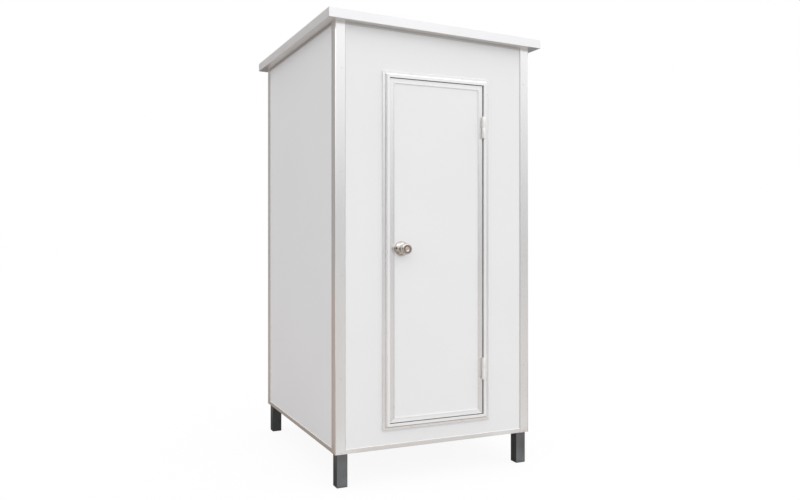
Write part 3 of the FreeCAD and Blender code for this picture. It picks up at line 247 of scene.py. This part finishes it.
def arris_painted_highlight(tree, place):
    """The rounded outer corners of the posts, where the white is a painted highlight."""
    reach_x, reach_y = POST_HIGH[0] - ARRIS_HIGHLIGHT, POST_HIGH[1] - ARRIS_HIGHLIGHT
    inner = maths(tree, "MAXIMUM", within(tree, place["X"], -reach_x, reach_x),
                  within(tree, place["Y"], -reach_y, reach_y))
    return inverse(tree, inner)


def brushed(name, axis, coat_and_highlight_of=None):
    """Anodised aluminium with a faint grain along one axis, white where the given mask says: a white coat
    on the door's profiles, and a painted highlight on the posts' rounded arris.
    """
    material, tree, shader = new_material(name)
    stretch = [1.0, 1.0, 1.0]
    stretch[axis] = GRAIN_STRETCH
    grain = noise(tree, scale=600, detail=2.0, stretch=stretch)
    cloud = noise(tree, scale=3.0)
    colour = mix(tree, ramp(tree, cloud, *NOISE_SPAN), *ALUMINIUM_TONES)
    metal = ALUMINIUM_METAL
    if coat_and_highlight_of is not None:
        coat_and_highlight = coat_and_highlight_of(tree, separate(tree, own_place(tree)))
        colour = mix(tree, coat_and_highlight, colour, WHITE_COAT_AND_HIGHLIGHT)
        metal = ramp(tree, coat_and_highlight, 0, 1, ALUMINIUM_METAL, WHITE_COAT_AND_HIGHLIGHT_METAL)
    feed(tree, shader, {
        "Base Color": colour,
        "Metallic": metal,
        "Roughness": ramp(tree, grain, *NOISE_SPAN, 0.19, 0.23),
        "Normal": bump(tree, grain, strength=0.02, distance=0.02 * MM),
    })
    return material


def painted(name, colour, rough, metal):
    """Paint with a fine uneven skin."""
    material, tree, shader = new_material(name)
    fine = noise(tree, scale=180, detail=4.0)
    broad = noise(tree, scale=22, detail=2.0)
    feed(tree, shader, {
        "Metallic": metal,
        "Base Color": mix(tree, ramp(tree, broad, *TONE_SPAN), scaled(colour, 0.94),
                          scaled(colour, 1.06)),
        "Roughness": ramp(tree, fine, *NOISE_SPAN, rough * 0.85, rough * 1.15),
        "Normal": bump(tree, fine, strength=0.25, distance=0.2 * MM),
    })
    return material


def panel_skin(name):
    """Coated sheet, slightly uneven over its foam core."""
    material, tree, shader = new_material(name)
    cloud = noise(tree, scale=1.6, detail=2.0)
    peel = noise(tree, scale=260, detail=2.0)
    wave = noise(tree, scale=5.0, detail=1.0)
    feed(tree, shader, {
        "Specular IOR Level": 0.3,
        "Base Color": mix(tree, ramp(tree, cloud, *TONE_SPAN), *PANEL_TONES),
        "Roughness": ramp(tree, peel, *NOISE_SPAN, 0.42, 0.48),
        "Normal": bump(tree, wave, strength=0.15, distance=1.5 * MM),
    })
    return material


def edge_sheet(name, colour, painted_shade_colour):
    """Folded sheet, with a darker tone painted as shade on the side that faces down."""
    material, tree, shader = new_material(name)
    cloud = noise(tree, scale=2.5)
    normal = tree.nodes.new("ShaderNodeNewGeometry").outputs["True Normal"]
    # Painted shade on the faces that point down
    below = ramp(tree, toward(tree, normal, DOWN), 0.6, 0.8)
    coat = mix(tree, ramp(tree, cloud, *TONE_SPAN), scaled(colour, 0.99), scaled(colour, 1.01))
    feed(tree, shader, {
        "Metallic": 0.6,
        "Base Color": mix(tree, below, coat, painted_shade_colour),
        "Roughness": ramp(tree, cloud, *NOISE_SPAN, 0.32, 0.36),
    })
    return material


def paper_roll(name, axis_x, axis_z):
    """Tissue with the wound layers showing at the roll's ends."""
    material, tree, shader = new_material(name)
    from_axis = add(tree, "Mapping", {"Vector": own_place(tree), "Location": (-axis_x, 0, -axis_z),
                                      "Scale": (1, 0, 1)})["Vector"]
    reach = vector_maths(tree, "LENGTH", from_axis)["Value"]
    turns = maths(tree, "SINE", maths(tree, "MULTIPLY", reach, 2 * math.pi / TISSUE_PITCH))
    fibre = noise(tree, scale=400)
    feed(tree, shader, {
        "Specular IOR Level": 0.1,
        "Base Color": mix(tree, ramp(tree, turns, -1, 1), *TISSUE_TONES),
        "Roughness": 0.95,
        "Normal": bump(tree, fibre, strength=0.3, distance=0.3 * MM),
    })
    return material


SLOT_MATERIALS = {
    "white_panel": panel_skin("panel_skin"),
    # The fascia's second, darker colour on its underside is painted shade.
    "white_trim": edge_sheet("fascia_sheet", (0.86, 0.86, 0.87), (0.72, 0.71, 0.70)),
    "leg_steel": painted("leg_paint", (0.176, 0.185, 0.192), 0.32, 0.85),
    "galvanised_steel": plain("galvanised_steel", (0.52, 0.54, 0.56), 0.42, metal=0.9, grain=45,
                              tint=0.12),
    "floor_board": painted("floor_board", (0.2, 0.19, 0.18), 0.6, 0.0),
    "seal_rubber": plain("seal_rubber", (0.14, 0.14, 0.14), 0.7, tint=0.1),
    "zinc_steel": plain("zinc_steel", (0.68, 0.67, 0.63), 0.3, metal=1.0, grain=50, tint=0.05),
    "hinge_white": plain("hinge_coat", (0.86, 0.85, 0.83), 0.3, metal=0.3, grain=90),
    "knob_metal": plain("satin_stainless", (0.62, 0.59, 0.56), 0.1, metal=1.0, grain=70),
    "key_metal": plain("bright_metal", (0.8, 0.8, 0.8), 0.12, metal=1.0, grain=90),
    "sanitary_ceramic": plain("sanitary_ceramic", (0.85, 0.85, 0.84), 0.08, specular=0.6, coat=0.6,
                              tint=0.004),
    "seat_plastic": plain("seat_plastic", (0.84, 0.84, 0.83), 0.2, tint=0.004),
    "hinge_steel": plain("hinge_steel", (0.74, 0.74, 0.74), 0.22, metal=1.0, grain=80),
    "pipe_plastic": plain("pipe_plastic", (0.25, 0.26, 0.28), 0.45, grain=30, tint=0.04),
    "inlet_brass": plain("inlet_brass", (0.72, 0.56, 0.26), 0.3, metal=1.0, grain=60, tint=0.05),
    "vent_plastic": plain("vent_plastic", (0.82, 0.82, 0.81), 0.4, grain=40, tint=0.01),
    "lens_plastic": plain("lens_plastic", (0.88, 0.88, 0.85), 0.3, grain=40, tint=0.01),
}
PROFILES = [brushed(f"aluminium_along_{axis}", k) for k, axis in enumerate("xyz")]
FRAME_ACROSS = brushed("frame_along_x", 0, band_coat)
NODE_MATERIALS = {
    "door_head": FRAME_ACROSS,
    "door_sill": FRAME_ACROSS,
    "door_jamb": brushed("frame_along_z", 2, jamb_coat),
    # The white on the posts' rounded arris is a painted highlight.
    "corner_post": brushed("post_profile", 2, arris_painted_highlight),
    "leaf_rails": brushed("rail_along_x", 0, rail_coat),
    # The head rails' darker grey is painted shade under the eaves.
    "head_rails": plain("head_rail_painted_shade", (0.62, 0.61, 0.60), 0.4, metal=0.7, grain=5),
}


def by_beginning(table, name):
    """What the table gives for the longest beginning of the name that it has, or None."""
    found = [start for start in table if name.startswith(start)]
    return table[max(found, key=len)] if found else None


def material_of(name, slot):
    """The node's own material where it has one. A profile's grain runs along its longest side."""
    own = by_beginning(NODE_MATERIALS, name)
    if own is not None:
        return own
    low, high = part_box(name)
    if slot == "aluminium_profile":
        spans = [b - a for a, b in zip(low, high)]
        return PROFILES[spans.index(max(spans))]
    if slot == "tissue_paper":
        return paper_roll("tissue", (low[0] + high[0]) / 2, (low[2] + high[2]) / 2)
    return SLOT_MATERIALS[slot]


for part in frame["record"]["subparts"]:
    materials = nodes[part["node"]].data.materials
    materials.clear()
    materials.append(material_of(part["node"], part["material_slot"]))


# Rounded edges on the CAD nodes, in millimetres by the beginning of the node's name

EDGE_WIDTHS = {
    "leg_": 3.0, "corner_post": 0.6, "bottom_rail": 0.6, "fascia": 0.9, "wall_panel": 0.5,
    "roof_panel": 0.5, "door_jamb": 0.6, "door_head": 0.6, "door_sill": 0.6, "leaf_stile": 0.6,
    "leaf_rails": 0.6, "hinge_": 0.9, "toilet_pan": 7.0, "cistern": 6.0, "toilet_seat": 5.0,
    "toilet_lid": 4.0, "seat_hinge": 1.5, "flush_button": 1.0, "key_plug": 0.5, "turn_button": 0.7,
    "strike_plate": 0.4, "latch_bolt": 0.6, "vent_louvre": 0.6, "lamp_": 3.0, "roll_holder": 1.2,
    "toilet_roll": 0.8, "water_inlet": 0.6, "waste_pipe": 1.0,
}
EDGE_SEGMENTS = 2
EDGE_ANGLE = math.radians(32)
WELD_REACH = 0.01 * MM


def soften(obj, width):
    """Round the edges that turn by more than the edge angle."""
    weld = obj.modifiers.new("weld", "WELD")
    weld.merge_threshold = WELD_REACH
    edge = obj.modifiers.new("edge", "BEVEL")
    edge.width = width
    edge.segments = EDGE_SEGMENTS
    edge.limit_method = "ANGLE"
    edge.angle_limit = EDGE_ANGLE
    edge.harden_normals = True


for name, obj in nodes.items():
    edge_width = by_beginning(EDGE_WIDTHS, name)
    if edge_width is not None:
        soften(obj, edge_width * MM)


# Small pieces: built as meshes, each with its body and its material

def piece(name, vertices, faces, material, body, smooth=True):
    """A mesh of the vertices and faces, which rides on the body."""
    mesh = bpy.data.meshes.new(name)
    mesh.from_pydata(vertices, [], faces)
    for face in mesh.polygons:
        face.use_smooth = smooth
    mesh.materials.append(material)
    obj = bpy.data.objects.new(name, mesh)
    bpy.context.collection.objects.link(obj)
    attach(obj, body)
    return obj


def outward(place, direction):
    """The matrix that stands local Z on the place and turns it along the direction."""
    turn = Vector(UP).rotation_difference(Vector(direction)).to_matrix().to_4x4()
    return Matrix.Translation(Vector(place)) @ turn


def lathe(profile, steps, matrix, vertices, faces):
    """Add a turned shape to the lists. The profile runs from axis to axis, or closes on itself. A
    ring on the axis has one vertex."""
    rings = []
    for radius, height in profile:
        if radius == 0:
            rings.append([len(vertices)])
            vertices.append(matrix @ Vector((0, 0, height)))
            continue
        rings.append(list(range(len(vertices), len(vertices) + steps)))
        for k in range(steps):
            angle = 2 * math.pi * k / steps
            vertices.append(matrix @ Vector((radius * math.cos(angle), radius * math.sin(angle), height)))
    pairs = list(zip(rings, rings[1:]))
    if profile[0][0] != 0:
        pairs.append((rings[-1], rings[0]))
    for first, second in pairs:
        for k in range(steps):
            after = (k + 1) % steps
            corners = [first[k % len(first)], first[after % len(first)], second[after % len(second)],
                       second[k % len(second)]]
            faces.append(tuple(dict.fromkeys(corners)))


def turned(name, profile, places, material, body, steps):
    """One piece with a turned shape at each place, given as a point and a direction. The profile's
    radii and heights are in millimetres."""
    profile = [(radius * MM, height * MM) for radius, height in profile]
    vertices, faces = [], []
    for point, direction in places:
        lathe(profile, steps, outward(point, direction), vertices, faces)
    obj = piece(name, vertices, faces, material, body)
    obj.data.validate()
    return obj


SIDE_SHARE = 1 / 2.1


def rounded(points, lift, steps=4):
    """The profile with each inner corner replaced by a short curve. Its reach is the lift, or less
    where the two curves of a short side would meet."""
    curved = [points[0]]
    for corner, *neighbours in zip(points[1:], points, points[2:]):
        corner = Vector(corner)
        sides = [Vector(point) - corner for point in neighbours]
        reach = min(lift, *(side.length * SIDE_SHARE for side in sides))
        start, end = [corner + side.normalized() * reach for side in sides]
        for k in range(steps + 1):
            t = k / steps
            curved.append(tuple((1 - t) ** 2 * start + 2 * t * (1 - t) * corner + t ** 2 * end))
    curved.append(points[-1])
    return curved


# Rivets and screws, with their profiles in millimetres

RIVET = [(0, 0), (4.0, 0), (3.9, 0.4), (3.2, 0.9), (1.8, 1.25), (0, 1.35)]
RIVET_INSET = 35 * MM
# The lowest rivet and the first of the evenly spaced ones, over the post's foot
RIVET_LOWEST = 9 * MM
RIVET_FIRST = 398 * MM
RIVET_PITCH = 546 * MM
RIVET_ROWS = 4

SCREW = [(0, 0), (3.3, 0), (3.2, 0.7), (2.6, 1.3), (1.4, 1.6), (0.9, 1.0), (0, 0.8)]
JAMB_SCREWS = 5
JAMB_SCREW_INSET = 85 * MM
HEAD_SCREW_REACH = 157.5 * MM
HOLDER_PLATE = 5 * MM
HOLDER_SCREW_INSET = 8 * MM
LOUVRE_SCREW_INSET = 9 * MM


def make_rivets():
    """Domed rivets down both flanges of each corner post."""
    foot = POST_LOW[2]
    heights = [foot + RIVET_LOWEST] + [foot + RIVET_FIRST + RIVET_PITCH * k for k in range(RIVET_ROWS)]
    places = []
    for z in heights:
        for x in (POST_LOW[0] + RIVET_INSET, POST_HIGH[0] - RIVET_INSET):
            places += [((x, POST_LOW[1], z), OUT), ((x, POST_HIGH[1], z), IN)]
        for y in (POST_LOW[1] + RIVET_INSET, POST_HIGH[1] - RIVET_INSET):
            places += [((POST_LOW[0], y, z), LEFT), ((POST_HIGH[0], y, z), RIGHT)]
    turned("post_rivets", RIVET, places, SLOT_MATERIALS["hinge_steel"], "cabin",
           steps=16)


def corners_in(low, high, inset):
    """The four corners of the rectangle, drawn in by the inset."""
    return [(x, y) for x in (low[0] + inset, high[0] - inset) for y in (low[1] + inset, high[1] - inset)]


def make_screws():
    """Pan-head screws through the lip of the door frame, the roll holder's plate and the louvre."""
    lip = FRONT_FACE - LIP_RISE
    left, right = FRAME_LOW[0] + FRAME_LIP / 2, FRAME_HIGH[0] - FRAME_LIP / 2
    bottom, top = FRAME_LOW[2] + FRAME_LIP / 2, FRAME_HIGH[2] - FRAME_LIP / 2
    first, last = FRAME_LOW[2] + JAMB_SCREW_INSET, FRAME_HIGH[2] - JAMB_SCREW_INSET
    rows = [first + (last - first) * k / (JAMB_SCREWS - 1) for k in range(JAMB_SCREWS)]
    middle = (left + right) / 2
    columns = (middle - HEAD_SCREW_REACH, middle + HEAD_SCREW_REACH)
    places = [((x, lip, z), OUT) for x in (left, right) for z in rows]
    places += [((x, lip, z), OUT) for x in columns for z in (bottom, top)]
    low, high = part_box("roll_holder")
    plate_side = high[2] - low[2]
    places += [((low[0] + HOLDER_PLATE, y, z), RIGHT) for y, z in
               corners_in((high[1] - plate_side, low[2]), (high[1], high[2]), HOLDER_SCREW_INSET)]
    low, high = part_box("vent_louvre")
    places += [((x, high[1], z), IN) for x, z in
               corners_in((low[0], low[2]), (high[0], high[2]), LOUVRE_SCREW_INSET)]
    turned("pan_head_screws", SCREW, places, SLOT_MATERIALS["hinge_steel"], "cabin",
           steps=14)


# Beads, grey ones that paint shadow lines and white ones that paint highlights, each given as its start,
# its end and the offsets of its three edges

BEAD_WIDTH = 2.0 * MM
# The grey lines beside the posts are painted shadow, wider at the front edges of the side walls
SIDE_SHADOW_LINE_WIDTH = 5.0 * MM
BEAD_RISE = 0.7 * MM
BEAD_CREST = 0.4
LEDGE_BEAD = 2.0 * MM
LEDGE_CREST = (0.6, 0.7)
# How far the grey lines stop short of the panel's foot and of its top
FOOT_SHORTFALL = 12 * MM
TOP_SHORTFALL = 30 * MM


def flat_bead(start, end, across, out):
    """A low bead on a face, from a line to as far across as given."""
    across = Vector(across)
    return start, end, (Vector(), across * BEAD_CREST + Vector(out) * BEAD_RISE, across)


def ledge_bead(start, end, out):
    """A bead in the corner between a face and the ledge under it."""
    out, up = Vector(out) * LEDGE_BEAD, Vector(UP) * LEDGE_BEAD
    return start, end, (out, out * LEDGE_CREST[0] + up * LEDGE_CREST[1], up)


def make_beads(name, beads, material):
    """One piece with all the beads."""
    vertices, faces = [], []
    for start, end, edges in beads:
        base = len(vertices)
        vertices += [Vector(point) + edge for point in (start, end) for edge in edges]
        faces += [(base, base + 1, base + 4, base + 3), (base + 1, base + 2, base + 5, base + 4),
                  (base + 2, base, base + 3, base + 5), (base, base + 2, base + 1),
                  (base + 3, base + 4, base + 5)]
    piece(name, vertices, faces, material, "cabin", smooth=False)


def make_post_lines():
    """Grey strips on the panels beside the posts, a painted shadow line along the flanges' edges."""
    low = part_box("wall_panel_front")[0][2] + FOOT_SHORTFALL
    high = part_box("wall_panel_front")[1][2] - TOP_SHORTFALL
    beads = []
    for x, across in ((INNER_LOW[0], BEAD_WIDTH), (INNER_HIGH[0], -BEAD_WIDTH)):
        for y, out in ((FRONT_FACE, OUT), (REAR_FACE, IN)):
            beads.append(flat_bead((x, y, low), (x, y, high), (across, 0, 0), out))
    for x, out in ((LEFT_FACE, LEFT), (RIGHT_FACE, RIGHT)):
        for y, across in ((INNER_LOW[1], SIDE_SHADOW_LINE_WIDTH), (INNER_HIGH[1], -BEAD_WIDTH)):
            beads.append(flat_bead((x, y, low), (x, y, high), (0, across, 0), out))
    # Grey for the painted shadow lines
    grey = plain("grey_painted_shadow", (0.27, 0.265, 0.26), 0.6, grain=120, tint=0.08)
    make_beads("painted_shadow_lines", beads, grey)


def make_white_lines():
    """White beads along the bottom rails and round the door frame, painting the highlight along the
    rails' ledges and the frame's edges.
    """
    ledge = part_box("bottom_rail_front")[1][2]
    beads = []
    for y, out in ((FRONT_FACE, OUT), (REAR_FACE, IN)):
        beads.append(ledge_bead((INNER_LOW[0], y, ledge), (INNER_HIGH[0], y, ledge), out))
    for x, out in ((LEFT_FACE, LEFT), (RIGHT_FACE, RIGHT)):
        beads.append(ledge_bead((x, INNER_LOW[1], ledge), (x, INNER_HIGH[1], ledge), out))
    for x, across in ((FRAME_LOW[0], -BEAD_WIDTH), (FRAME_HIGH[0], BEAD_WIDTH)):
        beads.append(flat_bead((x, FRONT_FACE, FRAME_LOW[2]), (x, FRONT_FACE, FRAME_HIGH[2]),
                               (across, 0, 0), OUT))
    for z, across in ((FRAME_HIGH[2], BEAD_WIDTH), (FRAME_LOW[2], -BEAD_WIDTH)):
        beads.append(flat_bead((FRAME_LOW[0], FRONT_FACE, z), (FRAME_HIGH[0], FRONT_FACE, z),
                               (0, 0, across), OUT))
    # The white of these beads is a painted highlight.
    white = plain("white_painted_highlight", (0.86, 0.86, 0.86), 0.3, grain=120, tint=0.01)
    make_beads("white_highlight_beads", beads, white)


# Knobs and roses, with their profiles in millimetres from the infill's face

KNOB = [(14.0, 0.5), (14.0, 31.0), (17.0, 39.0), (24.5, 50.5), (31.0, 60.5), (31.5, 68.0), (29.8, 74.2),
        (26.0, 78.4), (21.6, 80.0), (13.2, 79.6), (11.2, 78.3), (7.4, 76.0), (6.7, 75.8), (6.7, 64.8),
        (0, 64.8)]
SPINDLE = [(0, -30.0), (5.0, -30.0), (5.0, 0.5)]
NO_SPINDLE = [(0, 0.5)]
KNOB_SOFTNESS = 2.4
RING_REACH = (12.6 * MM, 22.6 * MM)
RING_HEIGHT = 78.5 * MM
ROSE = [(14.3, 0), (41.0, 0), (41.0, 3.4), (37.4, 8.6), (31.4, 14.4), (25.4, 18.8), (21.0, 20.0),
        (14.6, 20.0), (14.3, 19.0)]
ROSE_SOFTNESS = 1.6


def make_knobs():
    """Turned knobs in place of the plain ones, each with a darker brown ring on its face that is a
    painted reflection of the brown ground. The outer one carries the spindle."""
    # The brown ring on each knob's face is a painted reflection.
    brown_reflection = plain("face_ring_painted_reflection", (0.36, 0.27, 0.21), 0.2, metal=1.0, grain=90)
    for name, node, foot, way, spindle in (
            ("knob_outer_turned", "knob_outer", INFILL_FRONT, OUT, SPINDLE),
            ("knob_inner_turned", "knob_inner", INFILL_BACK, IN, NO_SPINDLE)):
        knob = turned(name, rounded(spindle + KNOB, KNOB_SOFTNESS), [((KNOB_X, foot, KNOB_Z), way)],
                      SLOT_MATERIALS["knob_metal"], "knobs", steps=72)
        knob.data.materials.append(brown_reflection)
        for face in knob.data.polygons:
            reach = math.hypot(face.center.x - KNOB_X, face.center.z - KNOB_Z)
            if RING_REACH[0] < reach < RING_REACH[1] and abs(face.center.y - foot) > RING_HEIGHT:
                face.material_index = 1
        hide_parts(node)


def make_roses():
    """Turned roses in place of the plain ones, one on each side of the leaf."""
    places = [((KNOB_X, INFILL_FRONT, KNOB_Z), OUT), ((KNOB_X, INFILL_BACK, KNOB_Z), IN)]
    roses = turned("roses_turned", rounded(ROSE, ROSE_SOFTNESS, steps=3), places,
                   SLOT_MATERIALS["knob_metal"], "door", steps=96)
    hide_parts("rose_plates")


make_rivets()
make_screws()
make_post_lines()
make_white_lines()
make_knobs()
make_roses()


# Stage: floor and surroundings

FLOOR_HALF = 30.0
FLOOR_COLOUR = (0.46, 0.45, 0.44)
FLOOR_SEEN = (0.9, 0.9, 0.9)
SHADOW_FADE = 0.92

SKY_FRONT = (0.2, -0.98, 0.0)
BEHIND = (0.66, 0.66, 0.665)
BEFORE = (1.465, 1.465, 1.47)
SKY_RISE = 0.7
OVERHEAD = 1.15


def background_rays(tree):
    """One for the rays that show the white background: camera, glossy and transmission rays."""
    rays = tree.nodes.new("ShaderNodeLightPath").outputs
    shown = maths(tree, "MAXIMUM", rays["Is Camera Ray"], rays["Is Glossy Ray"])
    return maths(tree, "MAXIMUM", shown, rays["Is Transmission Ray"])


def square(name, half, height=0.0):
    """A level square mesh round the origin."""
    mesh = bpy.data.meshes.new(name)
    mesh.from_pydata([(-half, -half, height), (half, -half, height), (half, half, height),
                      (-half, half, height)], [], [(0, 1, 2, 3)])
    return mesh


def stage_object(name, mesh, material):
    """An object of the stage, which isn't part of the cabin."""
    obj = bpy.data.objects.new(name, mesh)
    bpy.context.collection.objects.link(obj)
    mesh.materials.append(material)
    return obj


def make_floor():
    """A floor that is white with a faint shadow where it shows, and greyer where it lights the cabin."""
    material, tree, shader = new_material("stage_floor")
    feed(tree, shader, {"Base Color": FLOOR_COLOUR, "Roughness": 0.9, "Specular IOR Level": 0.1})
    pale = add(tree, "BsdfDiffuse", {"Color": FLOOR_SEEN})["BSDF"]
    glow = add(tree, "Emission", {"Strength": 1.0})["Emission"]
    shadow = mix_shaders(tree, SHADOW_FADE, pale, glow)
    seen = mix_shaders(tree, background_rays(tree), shader.outputs["BSDF"], shadow)
    tree.links.new(seen, tree.nodes["Material Output"].inputs["Surface"])
    stage_object("stage_floor", square("stage_floor", FLOOR_HALF), material)


def make_world():
    """Soft surroundings, brighter in front than behind, and white where they show."""
    world = bpy.data.worlds.new("surroundings")
    bpy.context.scene.world = world
    world.use_nodes = True
    tree = world.node_tree
    background = tree.nodes["Background"]
    direction = tree.nodes.new("ShaderNodeTexCoord").outputs["Generated"]
    front = ramp(tree, toward(tree, direction, SKY_FRONT), -1, 1)
    feed(tree, background, {
        "Color": mix(tree, front, BEHIND, BEFORE),
        "Strength": ramp(tree, toward(tree, direction, UP), 0, SKY_RISE, 1.0, OVERHEAD),
    })
    white = add(tree, "Background", {"Color": (1, 1, 1)})["Background"]
    seen = mix_shaders(tree, background_rays(tree), background.outputs["Background"], white)
    tree.links.new(seen, tree.nodes["World Output"].inputs["Surface"])


# Reflection cards, with their tones and the places between which one tone turns into the next

CARD_RADIUS = 14.0
CARD_HEIGHT = 40.0
CARD_SIDES = 64
CARD_FRONT = (0.588, 0.583, 0.583)
CARD_TOP = (1.05, 1.05, 1.055)
CARD_SIDE = (0.09, 0.083, 0.075)
CARD_BACK = (0.37, 0.345, 0.33)
CARD_BACK_TOP = (0.36, 0.36, 0.365)
CARD_CROWN = (1.8, 1.8, 1.8)
FRONT_FADE = (1.6, 6.2)
SIDE_FADE = (4.5, 8.0)
BACK_FADE = (3.0, 18.0)
CROWN_FADE = (10.0, 12.5)
FRONT_SECTOR = ((0.37, -0.93, 0.0), -0.75, -0.1)
SIDE_SECTOR = ((-0.996, -0.087, 0.0), 0.80, 0.87)
PALE_SECTOR = ((0.83, 0.56, 0.0), 0.85, 0.95)

GROUND_HEIGHT = 1 * MM
GROUND_FRONT = (0.66, 0.635, 0.615)
GROUND_NEAR = (0.78, 0.775, 0.77)
GROUND_BACK = (0.42, 0.345, 0.30)
GROUND_SHADE = (0.10, 0.095, 0.09)
GROUND_BROWN = (0.41, 0.33, 0.265)
NEAR_FADE = (-1.9, -1.4)
STRIP_FADE = (-1.3, -1.2)
BESIDE_FADE = (-2.0, -1.8)
BACK_FADE_Y = (-0.72, -0.64)
SHADE_FADE_X = (-0.84, -0.76)
LEG_X = (LEG_LOW[0] + LEG_HIGH[0]) / 2
PATH_SLANT = 0.353
PATH_HALF = 0.07
PATH_SOFT = 0.02
BESIDE_PATH = (0.22, 0.36)


def make_card(name, mesh, colour_of):
    """A card that only reflections see."""
    material, tree, shader = new_material(name)
    tree.nodes.remove(shader)
    glow = add(tree, "Emission", {"Color": colour_of(tree, own_place(tree))})["Emission"]
    tree.links.new(glow, tree.nodes["Material Output"].inputs["Surface"])
    card = stage_object(name, mesh, material)
    card.visible_camera = False
    card.visible_diffuse = False
    card.visible_transmission = False
    card.visible_shadow = False


def in_sector(tree, position, direction, low, high):
    """One where the place lies towards the level direction, by a cosine over the high limit, and
    zero under the low one."""
    level = vector_maths(tree, "MULTIPLY", position, (1, 1, 0))["Vector"]
    unit = vector_maths(tree, "NORMALIZE", level)["Vector"]
    return ramp(tree, toward(tree, unit, direction), low, high)


def wall_colour(tree, position):
    """Grey in front that turns white above eye level, brown behind, dark on the left, white behind
    on the right, and brighter than white all round at the crown."""
    high = separate(tree, position)["Z"]
    front = mix(tree, ramp(tree, high, *FRONT_FADE), CARD_FRONT, CARD_TOP)
    back = mix(tree, ramp(tree, high, *BACK_FADE), CARD_BACK, CARD_BACK_TOP)
    side = mix(tree, ramp(tree, high, *SIDE_FADE), CARD_SIDE, CARD_TOP)
    colour = mix(tree, in_sector(tree, position, *FRONT_SECTOR), back, front)
    colour = mix(tree, in_sector(tree, position, *SIDE_SECTOR), colour, side)
    colour = mix(tree, in_sector(tree, position, *PALE_SECTOR), colour, CARD_TOP)
    return mix(tree, ramp(tree, high, *CROWN_FADE), colour, CARD_CROWN)


def ground_colour(tree, position):
    """Pale before the cabin, brown on its left and dark under it and on its right. Before the cabin
    lies a brown strip, clear along two slanting paths that the front legs reflect, and broader
    left of them."""
    place = separate(tree, position)
    slanted = toward(tree, position, (1, PATH_SLANT, 0))
    across = maths(tree, "ADD", slanted, -PATH_SLANT * LEG_LOW[1])
    paths = [within(tree, across, x - PATH_HALF, x + PATH_HALF, PATH_SOFT) for x in (-LEG_X, LEG_X)]
    clear = inverse(tree, maths(tree, "MAXIMUM", *paths))
    strip = maths(tree, "MULTIPLY", ramp(tree, place["Y"], *STRIP_FADE), clear)
    aside = ramp(tree, across, -LEG_X - BESIDE_PATH[1], -LEG_X - BESIDE_PATH[0], 1, 0)
    beside = maths(tree, "MULTIPLY", ramp(tree, place["Y"], *BESIDE_FADE), aside)
    pale = mix(tree, ramp(tree, place["Y"], *NEAR_FADE), GROUND_FRONT, GROUND_NEAR)
    front = mix(tree, maths(tree, "MAXIMUM", strip, beside), pale, GROUND_BROWN)
    back = mix(tree, ramp(tree, place["X"], *SHADE_FADE_X), GROUND_BACK, GROUND_SHADE)
    return mix(tree, ramp(tree, place["Y"], *BACK_FADE_Y), front, back)


def make_cards():
    """A wall card all round the cabin, and a ground card under it."""
    angles = [2 * math.pi * k / CARD_SIDES for k in range(CARD_SIDES)]
    ring = [(CARD_RADIUS * math.cos(angle), CARD_RADIUS * math.sin(angle)) for angle in angles]
    walls = bpy.data.meshes.new("wall_card")
    walls.from_pydata([(x, y, z) for z in (0, CARD_HEIGHT) for x, y in ring], [],
                      [(k, (k + 1) % CARD_SIDES, CARD_SIDES + (k + 1) % CARD_SIDES, CARD_SIDES + k)
                       for k in range(CARD_SIDES)])
    make_card("wall_card", walls, wall_colour)
    make_card("ground_card", square("ground_card", CARD_RADIUS, GROUND_HEIGHT), ground_colour)


# Camera

CAMERA_PLACE = (-1.9495, -4.5123, 1.3377)
CAMERA_TURN = math.radians(24.258)
CAMERA_SENSOR = 36
CAMERA_LENS = 34.729
CAMERA_SHIFT = -0.01945


def make_camera():
    """Level, and turned towards the cabin's front left corner."""
    data = bpy.data.cameras.new("camera")
    data.sensor_width = CAMERA_SENSOR
    data.lens = CAMERA_LENS
    data.shift_y = CAMERA_SHIFT
    camera = bpy.data.objects.new("camera", data)
    bpy.context.collection.objects.link(camera)
    camera.location = CAMERA_PLACE
    camera.rotation_euler = (math.radians(90), 0, -CAMERA_TURN)
    bpy.context.scene.camera = camera


make_floor()
make_world()
make_cards()
make_camera()
bpy.context.scene.view_settings.view_transform = "Standard"
